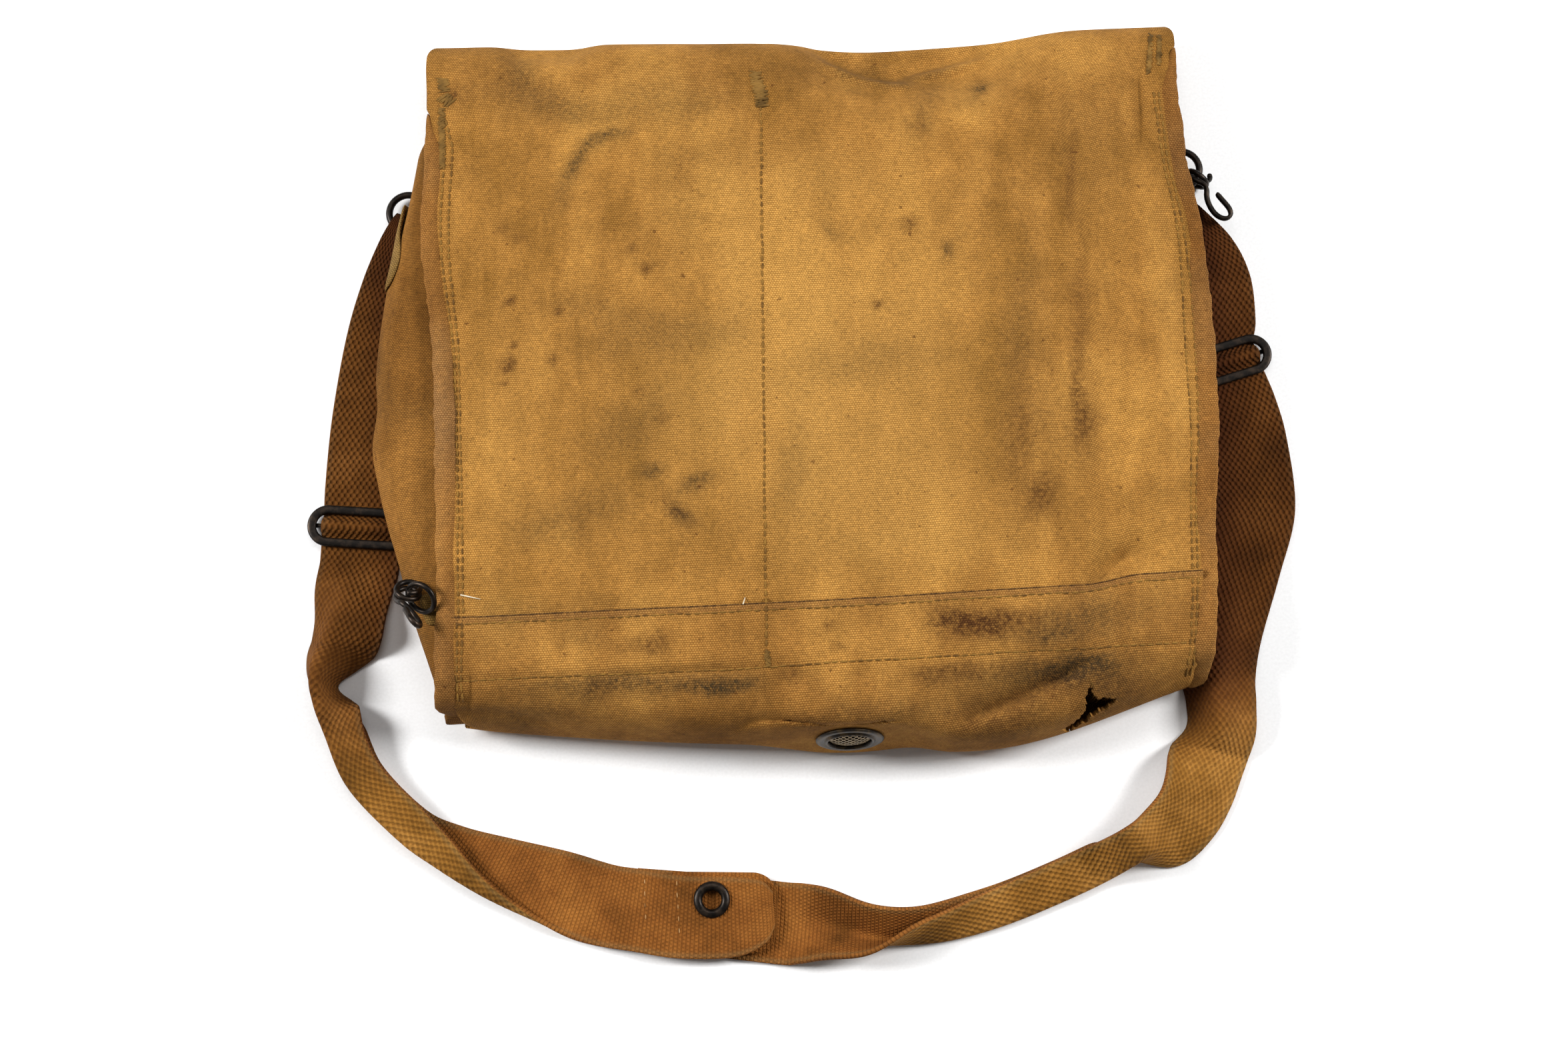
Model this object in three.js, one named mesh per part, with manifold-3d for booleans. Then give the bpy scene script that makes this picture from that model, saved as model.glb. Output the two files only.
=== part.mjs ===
// A canvas gas mask bag lying on its front, with its webbing sling laid round it.
// Millimetres, +X across the bag, +Y towards the flap fold, +Z up from the surface that the bag lies on.
import * as THREE from 'three';
import { mergeVertices } from 'three/addons/utils/BufferGeometryUtils.js';
import Module from 'manifold-3d';

const wasm = await Module();
wasm.setup();

// Driving dimensions
const CANVAS = 1.6; // duck canvas wall
const WEB = 1.8; // cotton webbing
const WEB_WIDTH = 32;
const GAP = 0.3; // clearance between neighbouring pieces
const STEP = CANVAS + GAP; // rise from one canvas layer to the next
const LAP = 25; // overlap of the lower panel on the back panel
const LAP_RISE = 2.6; // height of the lower panel over the back panel there
const TUCK = 5; // the hidden edge of the back panel stops this far short of the second stitch row
const FLAP_END = -46; // free edge of the flap, under the bag
const MOUTH = 170; // free edge of the front panel, inside the flap
const FRONT_INSET = 10; // the front panel is this much narrower at each side
const FLAP_INSET = 6; // and the flap this much
const GUSSET_TOP = 176; // upper end of the side walls
const WELT = { width: 4.8, height: 3.6, seat: 1.3, top: 172, clear: 0.9 };
const VENT = { x: 22, tilt: 10, outer: 13.3, inner: 8.6, cut: 9.5, flat: 20, fade: 42, level: 24 };
const MESH = { radius: 8.2, dome: 1.4, wall: 0.9, rings: 2, pitch: 3.5, hole: 0.95 };
const EYELET = { x: -34.3, y: -150.5, outer: 7.15, bore: 3.7, barrel: 4.7, cut: 5.1 };
const STRAP_RING = { radius: 8, wire: 1.6 };
const SMALL_RING = { radius: 6.2, wire: 1.2, lean: 36, height: 7.4 };
const HOOK = { wire: 1.25, eye: 4.8, turns: 1.9, pitch: 3.0 };
const SLIDE = {
  length: 44,
  height: 17,
  bar: 1.8,
  thickness: 2,
  centreBar: 1.0,
  level: 3.4,
  centreLevel: 2.3,
};

const COLOURS = {
  canvas: 0xb58a45,
  gusset: 0xa87838,
  welt: 0xa0784a,
  web: 0x8b5a28,
  metal: 0x2b2623,
  bronze: 0x5a4630,
};

// Sections of the bag from its left seam (-1) to its right seam (1): where the lap, the top fold and the
// bottom rim lie, and how high the upper face stands at each level from the lap up and at the hip below it
const SECTIONS = [
  {
    across: -1.0, lapY: -40, topY: 205, rimY: -79,
    lapZ: 35, bellyZ: 36, middleZ: 33, upperZ: 27, shoulderZ: 22, foldZ: 11, hipZ: 30,
  },
  {
    across: -0.5, lapY: -41, topY: 202, rimY: -87,
    lapZ: 43, bellyZ: 45, middleZ: 42, upperZ: 36, shoulderZ: 29, foldZ: 13, hipZ: 39,
  },
  {
    across: 0.0, lapY: -41, topY: 199, rimY: -92,
    lapZ: 45, bellyZ: 47, middleZ: 44, upperZ: 39, shoulderZ: 31, foldZ: 14, hipZ: 42,
  },
  {
    across: 0.5, lapY: -39, topY: 200, rimY: -95.5,
    lapZ: 42, bellyZ: 44, middleZ: 41, upperZ: 36, shoulderZ: 28, foldZ: 13, hipZ: 39,
  },
  {
    across: 1.0, lapY: -36, topY: 201, rimY: -74,
    lapZ: 30, bellyZ: 31, middleZ: 29, upperZ: 26, shoulderZ: 22, foldZ: 11, hipZ: 25,
  },
];

// Side edges of the back panel in plan, from the bottom up
const SEAMS = [
  { y: -96, left: -131.5, right: 158 },
  { y: -43, left: -128.5, right: 161 },
  { y: 25, left: -122.5, right: 164.5 },
  { y: 85, left: -127, right: 162.5 },
  { y: 135, left: -133, right: 160 },
  { y: 180, left: -137, right: 163 },
  { y: 203, left: -139, right: 167 },
];

// How far each gusset stands out past its seam, inward where it is negative
const GUSSETS = [
  { y: -74, left: 4, right: -4 },
  { y: -56, left: 11, right: -9 },
  { y: -21, left: 25, right: -15 },
  { y: 24, left: 38.5, right: -17 },
  { y: 57, left: 36.5, right: -18 },
  { y: 99, left: 27, right: -19 },
  { y: 132, left: 15, right: -16 },
  { y: 176, left: 3, right: -5 },
];

// Dents and creases of the upper face: middle, direction in degrees, half length, half width, depth and pull
// towards the bottom
const DENTS = [
  { name: 'top scoop', x: 66, y: 192, turn: 0, length: 46, width: 20, depth: 10, pull: 7 },
  { name: 'top left dip', x: -90, y: 200, turn: 0, length: 18, width: 10, depth: 4, pull: 2 },
  { name: 'diagonal crease', x: 90, y: -78, turn: 23, length: 26, width: 7, depth: 5, pull: 0 },
  { name: 'right crease', x: 131, y: -28, turn: 31, length: 15, width: 7, depth: 4, pull: 0 },
];

// The two lengths of webbing, a row for each section along the route. The web is creased lengthwise at
// (x, y): its first leaf is lead wide and lies at the angle first, its second leaf at the angle second, where
// 0 points to the left of the heading and 90 up. lift is the height of its lowest edge, soft the half width
// of the bend, gather the share of its width that is left where it is bunched.
const STRAP_LEFT = [
  { x: -157, y: 106, heading: -106, lift: 0.1, lead: 16, first: 180, second: 0, soft: 5, gather: 0.75 },
  { x: -154.5, y: 120, heading: -110, lift: 0.3, lead: 16, first: 180, second: 0, soft: 5, gather: 0.45 },
  { x: -153, y: 129.1, heading: -112, lift: 0.5, lead: 16, first: 180, second: 0, soft: 5, gather: 0.28 },
  { x: -150.9, y: 134.3, heading: -112, lift: 3.7, lead: 16, first: 180, second: 0, soft: 5, gather: 0.26 },
  { x: -153, y: 129.1, heading: -112, lift: 7, lead: 16, first: 180, second: 0, soft: 5, gather: 0.3 },
  { x: -154.5, y: 121, heading: -110, lift: 5.0, lead: 16, first: 181, second: -1, soft: 5, gather: 0.5 },
  { x: -157, y: 104, heading: -106, lift: 2.8, lead: 16, first: 181, second: -1, soft: 5, gather: 0.8 },
  { x: -161.5, y: 82, heading: -103, lift: 0.4, lead: 16, first: 180, second: 0, soft: 5, gather: 0.95 },
  { x: -166.5, y: 50, heading: -97, lift: 0.1, lead: 16, first: 180, second: 0, soft: 5, gather: 1 },
  { x: -169.4, y: 22, heading: -95, lift: 0.1, lead: 16, first: 180, second: 0, soft: 5, gather: 1 },
  { x: -170, y: 9.3, heading: -96, lift: 0.1, lead: 16, first: 180, second: 0, soft: 5, gather: 1 },
  { x: -170.5, y: 4.4, heading: -96, lift: 4.2, lead: 16, first: 180, second: 0, soft: 5, gather: 1 },
  { x: -171, y: -0.5, heading: -96, lift: 0.1, lead: 16, first: 180, second: 0, soft: 5, gather: 1 },
  { x: -173, y: -12, heading: -100, lift: 0, lead: 15, first: 181, second: 0, soft: 4, gather: 1 },
  { x: -178, y: -24, heading: -106, lift: 0, lead: 13, first: 205, second: -4, soft: 4, gather: 1 },
  { x: -182, y: -36, heading: -106, lift: 0, lead: 11, first: 229, second: -5, soft: 4, gather: 1 },
  { x: -186, y: -50, heading: -104, lift: 0, lead: 12, first: 247, second: -53, soft: 3.5, gather: 1 },
  { x: -187.5, y: -60, heading: -90, lift: 0, lead: 14, first: 266, second: -74, soft: 3, gather: 1 },
  { x: -186.8, y: -69, heading: -80, lift: 0, lead: 15, first: 296, second: -46, soft: 3, gather: 1 },
  { x: -184.5, y: -79, heading: -75, lift: 0, lead: 16, first: 338, second: 8, soft: 2.6, gather: 1 },
  { x: -176, y: -100, heading: -58, lift: 0, lead: 16, first: 350, second: 13, soft: 2.6, gather: 1 },
  { x: -157, y: -121, heading: -44, lift: 0, lead: 16, first: 354, second: 15, soft: 2.6, gather: 1 },
  { x: -143, y: -132, heading: -37, lift: 0, lead: 19, first: 357, second: 18, soft: 2.6, gather: 1 },
  { x: -124, y: -144.5, heading: -29, lift: 0, lead: 25, first: 358, second: 30, soft: 2.6, gather: 1 },
  { x: -104, y: -154.5, heading: -25, lift: 0, lead: 29, first: 360, second: 60, soft: 2.6, gather: 1 },
  { x: -82, y: -163.5, heading: -18, lift: 0.3, lead: 30, first: 361, second: 172, soft: 2, gather: 1 },
  { x: -66, y: -167.5, heading: -10, lift: 2.4, lead: 30.5, first: 361, second: 180, soft: 2, gather: 1 },
  { x: -48, y: -171, heading: -6, lift: 4.2, lead: 30.5, first: 360, second: 180, soft: 2, gather: 1 },
  { x: -26, y: -171.5, heading: 0, lift: 4.2, lead: 30.5, first: 360, second: 180, soft: 2, gather: 0.97 },
  { x: -14, y: -167, heading: 2, lift: 4.2, lead: 30.5, first: 360, second: 180, soft: 2, gather: 0.76 },
  { x: -10, y: -161, heading: 2, lift: 4.2, lead: 30.5, first: 360, second: 180, soft: 2, gather: 0.42 },
];
const STRAP_RIGHT = [
  { x: -65, y: -152.5, heading: -7, lift: 0, lead: 16, first: 360, second: 180, soft: 6, gather: 1 },
  { x: -36, y: -156, heading: -7, lift: 0, lead: 16, first: 360, second: 180, soft: 6, gather: 1 },
  { x: -8, y: -160.3, heading: -6, lift: 0, lead: 16, first: 360, second: 180, soft: 6, gather: 1 },
  { x: 0, y: -161, heading: -6, lift: 0, lead: 16, first: 378, second: 162, soft: 6, gather: 1 },
  { x: 11, y: -162, heading: -6, lift: 0, lead: 16, first: 398, second: 142, soft: 5, gather: 1 },
  { x: 27, y: -167.5, heading: -4, lift: 0, lead: 16, first: 405, second: 108, soft: 4, gather: 1 },
  { x: 44, y: -169.5, heading: 2, lift: 0, lead: 16, first: 402, second: 66, soft: 3, gather: 1 },
  { x: 60, y: -168.5, heading: 9, lift: 0, lead: 16, first: 388, second: 44, soft: 2.6, gather: 1 },
  { x: 80, y: -164, heading: 18, lift: 0, lead: 16, first: 368, second: 24, soft: 2.6, gather: 1 },
  { x: 104, y: -155.5, heading: 22, lift: 0, lead: 16, first: 358, second: 16, soft: 2.6, gather: 1 },
  { x: 122, y: -148, heading: 28, lift: 0, lead: 16, first: 350, second: 22, soft: 2.6, gather: 1 },
  { x: 134, y: -141.5, heading: 36, lift: 0, lead: 16, first: 272, second: 34, soft: 3.5, gather: 1 },
  { x: 143, y: -134, heading: 44, lift: 0, lead: 16, first: 217, second: 40, soft: 4, gather: 1 },
  { x: 152, y: -125, heading: 54, lift: 0, lead: 16, first: 206, second: 38, soft: 4, gather: 1 },
  { x: 158, y: -116, heading: 64, lift: 0, lead: 16, first: 206, second: 26, soft: 4, gather: 1 },
  { x: 162, y: -107, heading: 70, lift: 0, lead: 16, first: 206, second: 4, soft: 4, gather: 1 },
  { x: 167, y: -94, heading: 80, lift: 0, lead: 16, first: 204, second: -46, soft: 4, gather: 1 },
  { x: 167.5, y: -82, heading: 86, lift: 0, lead: 16, first: 198, second: -54, soft: 4, gather: 1 },
  { x: 168, y: -70, heading: 80, lift: 0, lead: 16, first: 191, second: -40, soft: 4, gather: 1 },
  { x: 173, y: -52, heading: 72, lift: 0, lead: 16, first: 186, second: -12, soft: 4, gather: 1 },
  { x: 183, y: -25, heading: 72, lift: 0, lead: 16, first: 180, second: 0, soft: 5, gather: 1 },
  { x: 190.5, y: -2, heading: 82, lift: 0.1, lead: 16, first: 180, second: 0, soft: 5, gather: 1 },
  { x: 189.5, y: 24, heading: 96, lift: 0.1, lead: 16, first: 180, second: 0, soft: 5, gather: 1 },
  { x: 186.4, y: 40, heading: 102, lift: 0.1, lead: 16, first: 180, second: 0, soft: 5, gather: 1 },
  { x: 182.8, y: 53.2, heading: 105, lift: 0.1, lead: 16, first: 180, second: 0, soft: 5, gather: 0.96 },
  { x: 181.5, y: 58, heading: 105, lift: 4.2, lead: 16, first: 180, second: 0, soft: 5, gather: 0.96 },
  { x: 180.2, y: 62.8, heading: 105, lift: 0.1, lead: 16, first: 180, second: 0, soft: 5, gather: 0.96 },
  { x: 181, y: 74, heading: 100, lift: 0.1, lead: 16, first: 180, second: 0, soft: 5, gather: 1 },
  { x: 180.4, y: 92, heading: 102, lift: 1.2, lead: 16, first: 180, second: 0, soft: 5, gather: 0.98 },
  { x: 177, y: 108, heading: 104, lift: 2.8, lead: 16, first: 181, second: -1, soft: 5, gather: 0.78 },
  { x: 170.5, y: 123, heading: 96, lift: 6, lead: 16, first: 181, second: -1, soft: 5, gather: 0.42 },
  { x: 165.4, y: 133.6, heading: 62, lift: 8.6, lead: 16, first: 180, second: 0, soft: 5, gather: 0.22 },
  { x: 168, y: 138.8, heading: 58, lift: 5.1, lead: 16, first: 180, second: 0, soft: 5, gather: 0.16 },
  { x: 165.4, y: 133.6, heading: 62, lift: 1.7, lead: 16, first: 180, second: 0, soft: 5, gather: 0.22 },
  { x: 170.2, y: 122.5, heading: 96, lift: 1.2, lead: 16, first: 180, second: 0, soft: 5, gather: 0.45 },
  { x: 176, y: 109, heading: 104, lift: 0.1, lead: 16, first: 180, second: 0, soft: 5, gather: 0.72 },
];

const radians = THREE.MathUtils.degToRad;
const mix = THREE.MathUtils.lerp;
const clamp = THREE.MathUtils.clamp;
const smoothstep = THREE.MathUtils.smoothstep;

// Reads a table of named columns as smooth curves over one of its columns
function curves(rows, key) {
  const columns = Object.keys(rows[0]).filter((name) => typeof rows[0][name] === 'number' && name !== key);
  const values = rows.flatMap((row) => columns.map((name) => row[name]));
  const spline = new THREE.CubicInterpolant(rows.map((row) => row[key]), values, columns.length);
  return (at) => {
    const found = spline.evaluate(at);
    return Object.fromEntries(columns.map((name, index) => [name, found[index]]));
  };
}

const sectionAt = curves(SECTIONS, 'across');
const seamAt = curves(SEAMS, 'y');
const gussetAt = curves(GUSSETS, 'y');

// Evenly spaced parameters from start to end
function steps(start, end, count) {
  return Array.from({ length: count + 1 }, (_, index) => mix(start, end, index / count));
}

// A closed wall of even thickness on both sides of a surface of two parameters
function wall(surface, across, along, thickness) {
  const solid = new THREE.BoxGeometry(1, 1, 1, across.length - 1, along.length - 1, 1);
  const place = solid.getAttribute('position');
  const reach = 1e-3;
  for (let index = 0; index < place.count; index += 1) {
    const u = across[Math.round((place.getX(index) + 0.5) * (across.length - 1))];
    const v = along[Math.round((place.getY(index) + 0.5) * (along.length - 1))];
    const spanU = reach * (across.at(-1) - across[0]);
    const spanV = reach * (along.at(-1) - along[0]);
    const alongU = surface(u + spanU, v).sub(surface(u - spanU, v));
    const alongV = surface(u, v + spanV).sub(surface(u, v - spanV));
    const normal = alongU.cross(alongV).normalize();
    const point = surface(u, v).addScaledVector(normal, place.getZ(index) * thickness);
    place.setXYZ(index, point.x, point.y, Math.max(point.z, 0));
  }
  return bare(solid);
}

// Keeps only the merged positions, so that a geometry is one closed body
function bare(geometry) {
  const plain = geometry.clone();
  plain.deleteAttribute('normal');
  plain.deleteAttribute('uv');
  return mergeVertices(plain, 1e-4);
}

function toSolid(geometry) {
  const closed = bare(geometry);
  const triVerts = new Uint32Array(closed.getIndex().array);
  const vertProperties = new Float32Array(closed.getAttribute('position').array);
  return new wasm.Manifold(new wasm.Mesh({ numProp: 3, vertProperties, triVerts }));
}

function toGeometry(solid) {
  const mesh = solid.getMesh();
  const geometry = new THREE.BufferGeometry();
  geometry.setAttribute('position', new THREE.BufferAttribute(new Float32Array(mesh.vertProperties), 3));
  geometry.setIndex(new THREE.BufferAttribute(new Uint32Array(mesh.triVerts), 1));
  return geometry;
}

function cut(geometry, tools) {
  return toGeometry(tools.reduce((solid, tool) => solid.subtract(toSolid(tool)), toSolid(geometry)));
}

const bag = new THREE.Group();

function piece(name, geometry, color, roughness, metalness) {
  geometry.computeVertexNormals();
  const mesh = new THREE.Mesh(geometry, new THREE.MeshStandardMaterial({ color, roughness, metalness }));
  mesh.name = name;
  bag.add(mesh);
  return mesh;
}

const cloth = (name, geometry, color) => piece(name, geometry, color, 0.9, 0);
const metal = (name, geometry, color) => piece(name, geometry, color, 0.4, 0.9);

// Position across the bag for a share from -1 at the left seam to 1 at the right seam
function acrossX(share, y, inset) {
  const seam = seamAt(y);
  return mix(seam.left + inset, seam.right - inset, (share + 1) / 2);
}

// Sinks a point of the upper face into the dents
function dented(point) {
  const standing = clamp((point.z - 6) / 14, 0, 1);
  for (const dent of DENTS) {
    const turn = radians(dent.turn);
    const dx = point.x - dent.x;
    const dy = point.y - dent.y;
    const lengthwise = (dx * Math.cos(turn) + dy * Math.sin(turn)) / dent.length;
    const sideways = (dy * Math.cos(turn) - dx * Math.sin(turn)) / dent.width;
    const share = standing * Math.exp(-(lengthwise ** 4) - sideways ** 2);
    point.z -= dent.depth * share;
    point.y -= dent.pull * share;
  }
  return point;
}

// A path up and round the bag at one share of its width, from points of (y, z)
function clothPath(points) {
  return new THREE.CatmullRomCurve3(points.map(([y, z]) => new THREE.Vector3(0, y, z)), false, 'centripetal');
}

function backPath(share) {
  const at = sectionAt(share);
  return clothPath([
    [at.lapY - LAP + TUCK, at.lapZ - 1],
    [at.lapY - LAP / 2, at.lapZ - 0.4],
    [at.lapY, at.lapZ],
    [25, at.bellyZ],
    [85, at.middleZ],
    [140, at.upperZ],
    [at.topY - 22, at.shoulderZ],
    [at.topY - 6, mix(at.foldZ, at.shoulderZ, 0.62)],
    [at.topY, at.foldZ],
    [at.topY - 6, 3.4],
    [at.topY - 22, CANVAS / 2],
    [60, CANVAS / 2],
    [FLAP_END, CANVAS / 2],
  ]);
}

function frontPath(share) {
  const at = sectionAt(share);
  const floor = CANVAS / 2;
  return clothPath([
    [at.lapY, at.lapZ + LAP_RISE],
    [at.lapY - LAP / 2, at.lapZ - 0.4 + LAP_RISE],
    [at.lapY - LAP, at.lapZ - 1.5 + LAP_RISE],
    [(at.lapY - LAP + at.rimY) / 2, at.hipZ],
    [at.rimY + 5, at.hipZ * 0.84],
    [at.rimY + 1, at.hipZ * 0.55],
    [at.rimY, at.hipZ * 0.28],
    [at.rimY + 6, 3],
    [at.rimY + 18, floor],
    [FLAP_END - 16, floor],
    [FLAP_END - 4, floor + STEP],
    [60, floor + STEP],
    [MOUTH, floor + STEP],
  ]);
}

// Memory of the paths at the shares of the width that are asked for
function remember(make) {
  const known = new Map();
  return (share) => {
    const key = Math.round(share * 1e6);
    if (!known.has(key)) {
      known.set(key, make(clamp(share, -1, 1)));
    }
    return known.get(key);
  };
}

const backPathAt = remember(backPath);
const frontPathAt = remember(frontPath);

function alongPath(path, at) {
  const point = path.getPoint(clamp(at, 0, 1));
  point.z = Math.max(point.z, CANVAS / 2);
  return point;
}

function backSurface(share, at) {
  const point = alongPath(backPathAt(share), at);
  const inset = FLAP_INSET * smoothstep(at, 0.74, 0.84);
  point.x = acrossX(share, point.y, inset) + (share - clamp(share, -1, 1)) * 100;
  return dented(point);
}

const ventNormal = new THREE.Vector3(0, -Math.cos(radians(VENT.tilt)), Math.sin(radians(VENT.tilt)));
const ventCentre = (() => {
  const at = sectionAt(0);
  return new THREE.Vector3(VENT.x, at.rimY + 1.2, VENT.level);
})();

// The lower panel is pressed flat round the rigid vent
function frontSurface(share, at) {
  const path = frontPathAt(share);
  const point = alongPath(path, at);
  const inset = FRONT_INSET * smoothstep(at, 0.5, 0.62);
  point.x = acrossX(share, point.y, inset) + (share - clamp(share, -1, 1)) * 100;
  dented(point);
  const away = point.clone().sub(ventCentre);
  const height = away.dot(ventNormal);
  const hold = point.y < FLAP_END ? 1 - smoothstep(away.length(), VENT.flat, VENT.fade) : 0;
  return point.addScaledVector(ventNormal, -height * hold);
}

// Parameters along a path of equal segments, with a number of steps in each segment
function segmentSteps(counts) {
  const list = [0];
  counts.forEach((count, segment) => {
    for (let step = 1; step <= count; step += 1) {
      list.push((segment + step / count) / counts.length);
    }
  });
  return list;
}

const backShares = steps(-1, 1, 16);
const backSteps = segmentSteps([1, 1, 2, 2, 2, 2, 3, 2, 2, 2, 1, 1]);
cloth('back_and_flap', wall(backSurface, backShares, backSteps, CANVAS), COLOURS.canvas);

// The torn hole in the lower panel, as a plan outline cut straight down
const TEAR = { x: 116, y: -84, low: 10, high: 44 };
const TEAR_OUTLINE = [
  { dx: 0.5, dy: 9.5 },
  { dx: -2.5, dy: 4 },
  { dx: -3.5, dy: -1 },
  { dx: -11, dy: -6.5 },
  { dx: -5, dy: -4.6 },
  { dx: 1, dy: -3 },
  { dx: 7, dy: -1.5 },
  { dx: 4, dy: 1.5 },
  { dx: 1.5, dy: 4.5 },
];
function tearTool() {
  const outline = new THREE.Shape(TEAR_OUTLINE.map(({ dx, dy }) => new THREE.Vector2(dx, dy)));
  const tool = new THREE.ExtrudeGeometry(outline, { depth: TEAR.high - TEAR.low, bevelEnabled: false });
  return tool.translate(TEAR.x, TEAR.y, TEAR.low);
}

function faceVent(geometry) {
  const turn = new THREE.Quaternion().setFromUnitVectors(new THREE.Vector3(0, 1, 0), ventNormal);
  return geometry.applyQuaternion(turn).translate(ventCentre.x, ventCentre.y, ventCentre.z);
}

const frontShares = steps(-1, 1, 16);
const frontSteps = segmentSteps([1, 1, 2, 2, 2, 2, 2, 2, 1, 1, 1, 1]);
const lowerPanel = wall(frontSurface, frontShares, frontSteps, CANVAS);
const ventCut = faceVent(new THREE.CylinderGeometry(VENT.cut, VENT.cut, 14, 20));
cloth('front_and_bottom', cut(lowerPanel, [ventCut, tearTool()]), COLOURS.canvas);

// Heights of the side edges: back panel and lower panel above, lower panel and front panel below
function edgeTrack(path, from, to) {
  const points = steps(from, to, 60).map((at) => alongPath(path, at));
  const rows = points.map((point) => ({ y: point.y, z: point.z }));
  rows.sort((one, other) => one.y - other.y);
  const distinct = rows.filter((row, index) => index === 0 || row.y - rows[index - 1].y > 0.2);
  return curves(distinct, 'y');
}

const SIDES = [-1, 1].map((side) => {
  const at = sectionAt(side);
  return {
    side,
    rimY: at.rimY,
    lapEnd: at.lapY - LAP,
    back: edgeTrack(backPathAt(side), 0, 6 / 12),
    upper: edgeTrack(frontPathAt(side), 0, 5.6 / 12),
    lower: edgeTrack(frontPathAt(side), 6.2 / 12, 1),
  };
});
const [LEFT, RIGHT] = SIDES;

// Height of the canvas under the welt at a side edge
function seamHeight(edge, y) {
  const low = edge.upper(y).z - LAP_RISE;
  const high = edge.back(y).z;
  return mix(low, high, smoothstep(y, edge.lapEnd + TUCK, edge.lapEnd + TUCK + 8));
}

const seamX = (edge, y) => (edge.side < 0 ? seamAt(y).left : seamAt(y).right);

// Side wall: across runs from the back panel's edge (0) to the front panel's edge (1)
function gussetSurface(edge) {
  return (across, y) => {
    const out = gussetAt(y)[edge.side < 0 ? 'left' : 'right'];
    const nearRim = 1 - smoothstep(y, edge.rimY + 4, edge.rimY + 24);
    const top = seamHeight(edge, y) - STEP - 0.3 - 2.6 * nearRim;
    const bottom = Math.max(CANVAS / 2 + 2 * STEP, edge.lower(y).z + STEP + 1.5 * nearRim);
    const rise = top - bottom;
    const tucked = out < 0;
    const section = new THREE.CatmullRomCurve3([
      new THREE.Vector3(tucked ? 4 : -3, 0, top),
      new THREE.Vector3(tucked ? -3 : 4, 0, top - 0.7),
      new THREE.Vector3(tucked ? out * 0.8 : mix(5, out, 0.7), 0, top - rise * 0.14),
      new THREE.Vector3(out, 0, bottom + rise * 0.52),
      new THREE.Vector3(tucked ? out * 0.85 : mix(-3, out, 0.72), 0, bottom + rise * 0.2),
      new THREE.Vector3(-FRONT_INSET + (tucked ? -2 : 3), 0, bottom + 0.2),
      new THREE.Vector3(-FRONT_INSET - (tucked ? 8 : 4), 0, bottom),
    ], false, 'centripetal');
    const point = section.getPoint(clamp(across, 0, 1));
    return new THREE.Vector3(seamX(edge, y) + edge.side * point.x, y, point.z);
  };
}

const gussetSteps = segmentSteps([1, 1, 2, 2, 2, 1]);
const leftGusset = gussetSurface(LEFT);
const rightGusset = gussetSurface(RIGHT);
const downLeft = steps(GUSSET_TOP, LEFT.rimY + 6, 15);
const upRight = steps(RIGHT.rimY + 6, GUSSET_TOP, 9);
cloth('left_gusset', wall(leftGusset, gussetSteps, downLeft, CANVAS), COLOURS.gusset);
cloth('right_gusset', wall(rightGusset, gussetSteps, upRight, CANVAS), COLOURS.gusset);

// Rolled seam allowance that stands beside a side edge, down to the bottom corner
function weltSurface(edge) {
  return (across, y) => {
    const crown = 0.5 * (1 - (2 * across - 1) ** 2);
    const x = seamX(edge, y) + edge.side * (WELT.clear + across * WELT.width);
    return new THREE.Vector3(x, y, seamHeight(edge, y) + WELT.seat + crown);
  };
}

const weltAcross = steps(0, 1, 2);
const weltDown = steps(WELT.top, LEFT.rimY + 5, 16);
const weltUp = steps(RIGHT.rimY + 5, WELT.top, 16);
cloth('left_welt', wall(weltSurface(LEFT), weltAcross, weltDown, WELT.height), COLOURS.welt);
cloth('right_welt', wall(weltSurface(RIGHT), weltAcross, weltUp, WELT.height), COLOURS.welt);

// Webbing from a table of sections
function webSurface(rows) {
  const rowAt = curves(rows.map((row, index) => ({ ...row, index })), 'index');
  const inside = 24;
  const section = (at) => {
    const turn = radians(at.second - at.first + 180);
    const start = radians(at.first - 180);
    const bend = Math.max(at.soft, Math.abs(turn) * 0.75);
    const direction = (width) => start + turn * smoothstep(width, at.lead - bend, at.lead + bend);
    const walk = (from, to) => {
      const point = new THREE.Vector2();
      for (let step = 0; step < inside; step += 1) {
        const angle = direction(mix(from, to, (step + 0.5) / inside));
        point.x += (Math.cos(angle) * (to - from)) / inside;
        point.y += (Math.sin(angle) * (to - from)) / inside;
      }
      return point.multiplyScalar(at.gather);
    };
    const lowest = Math.min(...steps(0, WEB_WIDTH, 16).map((width) => walk(at.lead, width).y));
    return { at, bend, walk, lowest };
  };
  const known = new Map();
  return (share, along) => {
    const key = Math.round(along * 1e7);
    if (!known.has(key)) {
      known.set(key, section(rowAt(clamp(along, 0, 1) * (rows.length - 1))));
    }
    const { at, bend, walk, lowest } = known.get(key);
    const firstBend = Math.max(at.lead - bend, 0.1);
    const lastBend = Math.min(at.lead + bend, WEB_WIDTH - 0.1);
    const stops = [0, firstBend / 2, firstBend, at.lead, lastBend, (lastBend + WEB_WIDTH) / 2, WEB_WIDTH];
    const spot = clamp(share, 0, 1) * (stops.length - 1);
    const low = Math.min(Math.floor(spot), stops.length - 2);
    const offset = walk(at.lead, mix(stops[low], stops[low + 1], spot - low));
    const heading = radians(at.heading);
    return new THREE.Vector3(
      at.x - Math.sin(heading) * offset.x,
      at.y + Math.cos(heading) * offset.x,
      Math.max(at.lift, 0) + WEB / 2 - lowest + offset.y,
    );
  };
}

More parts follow.
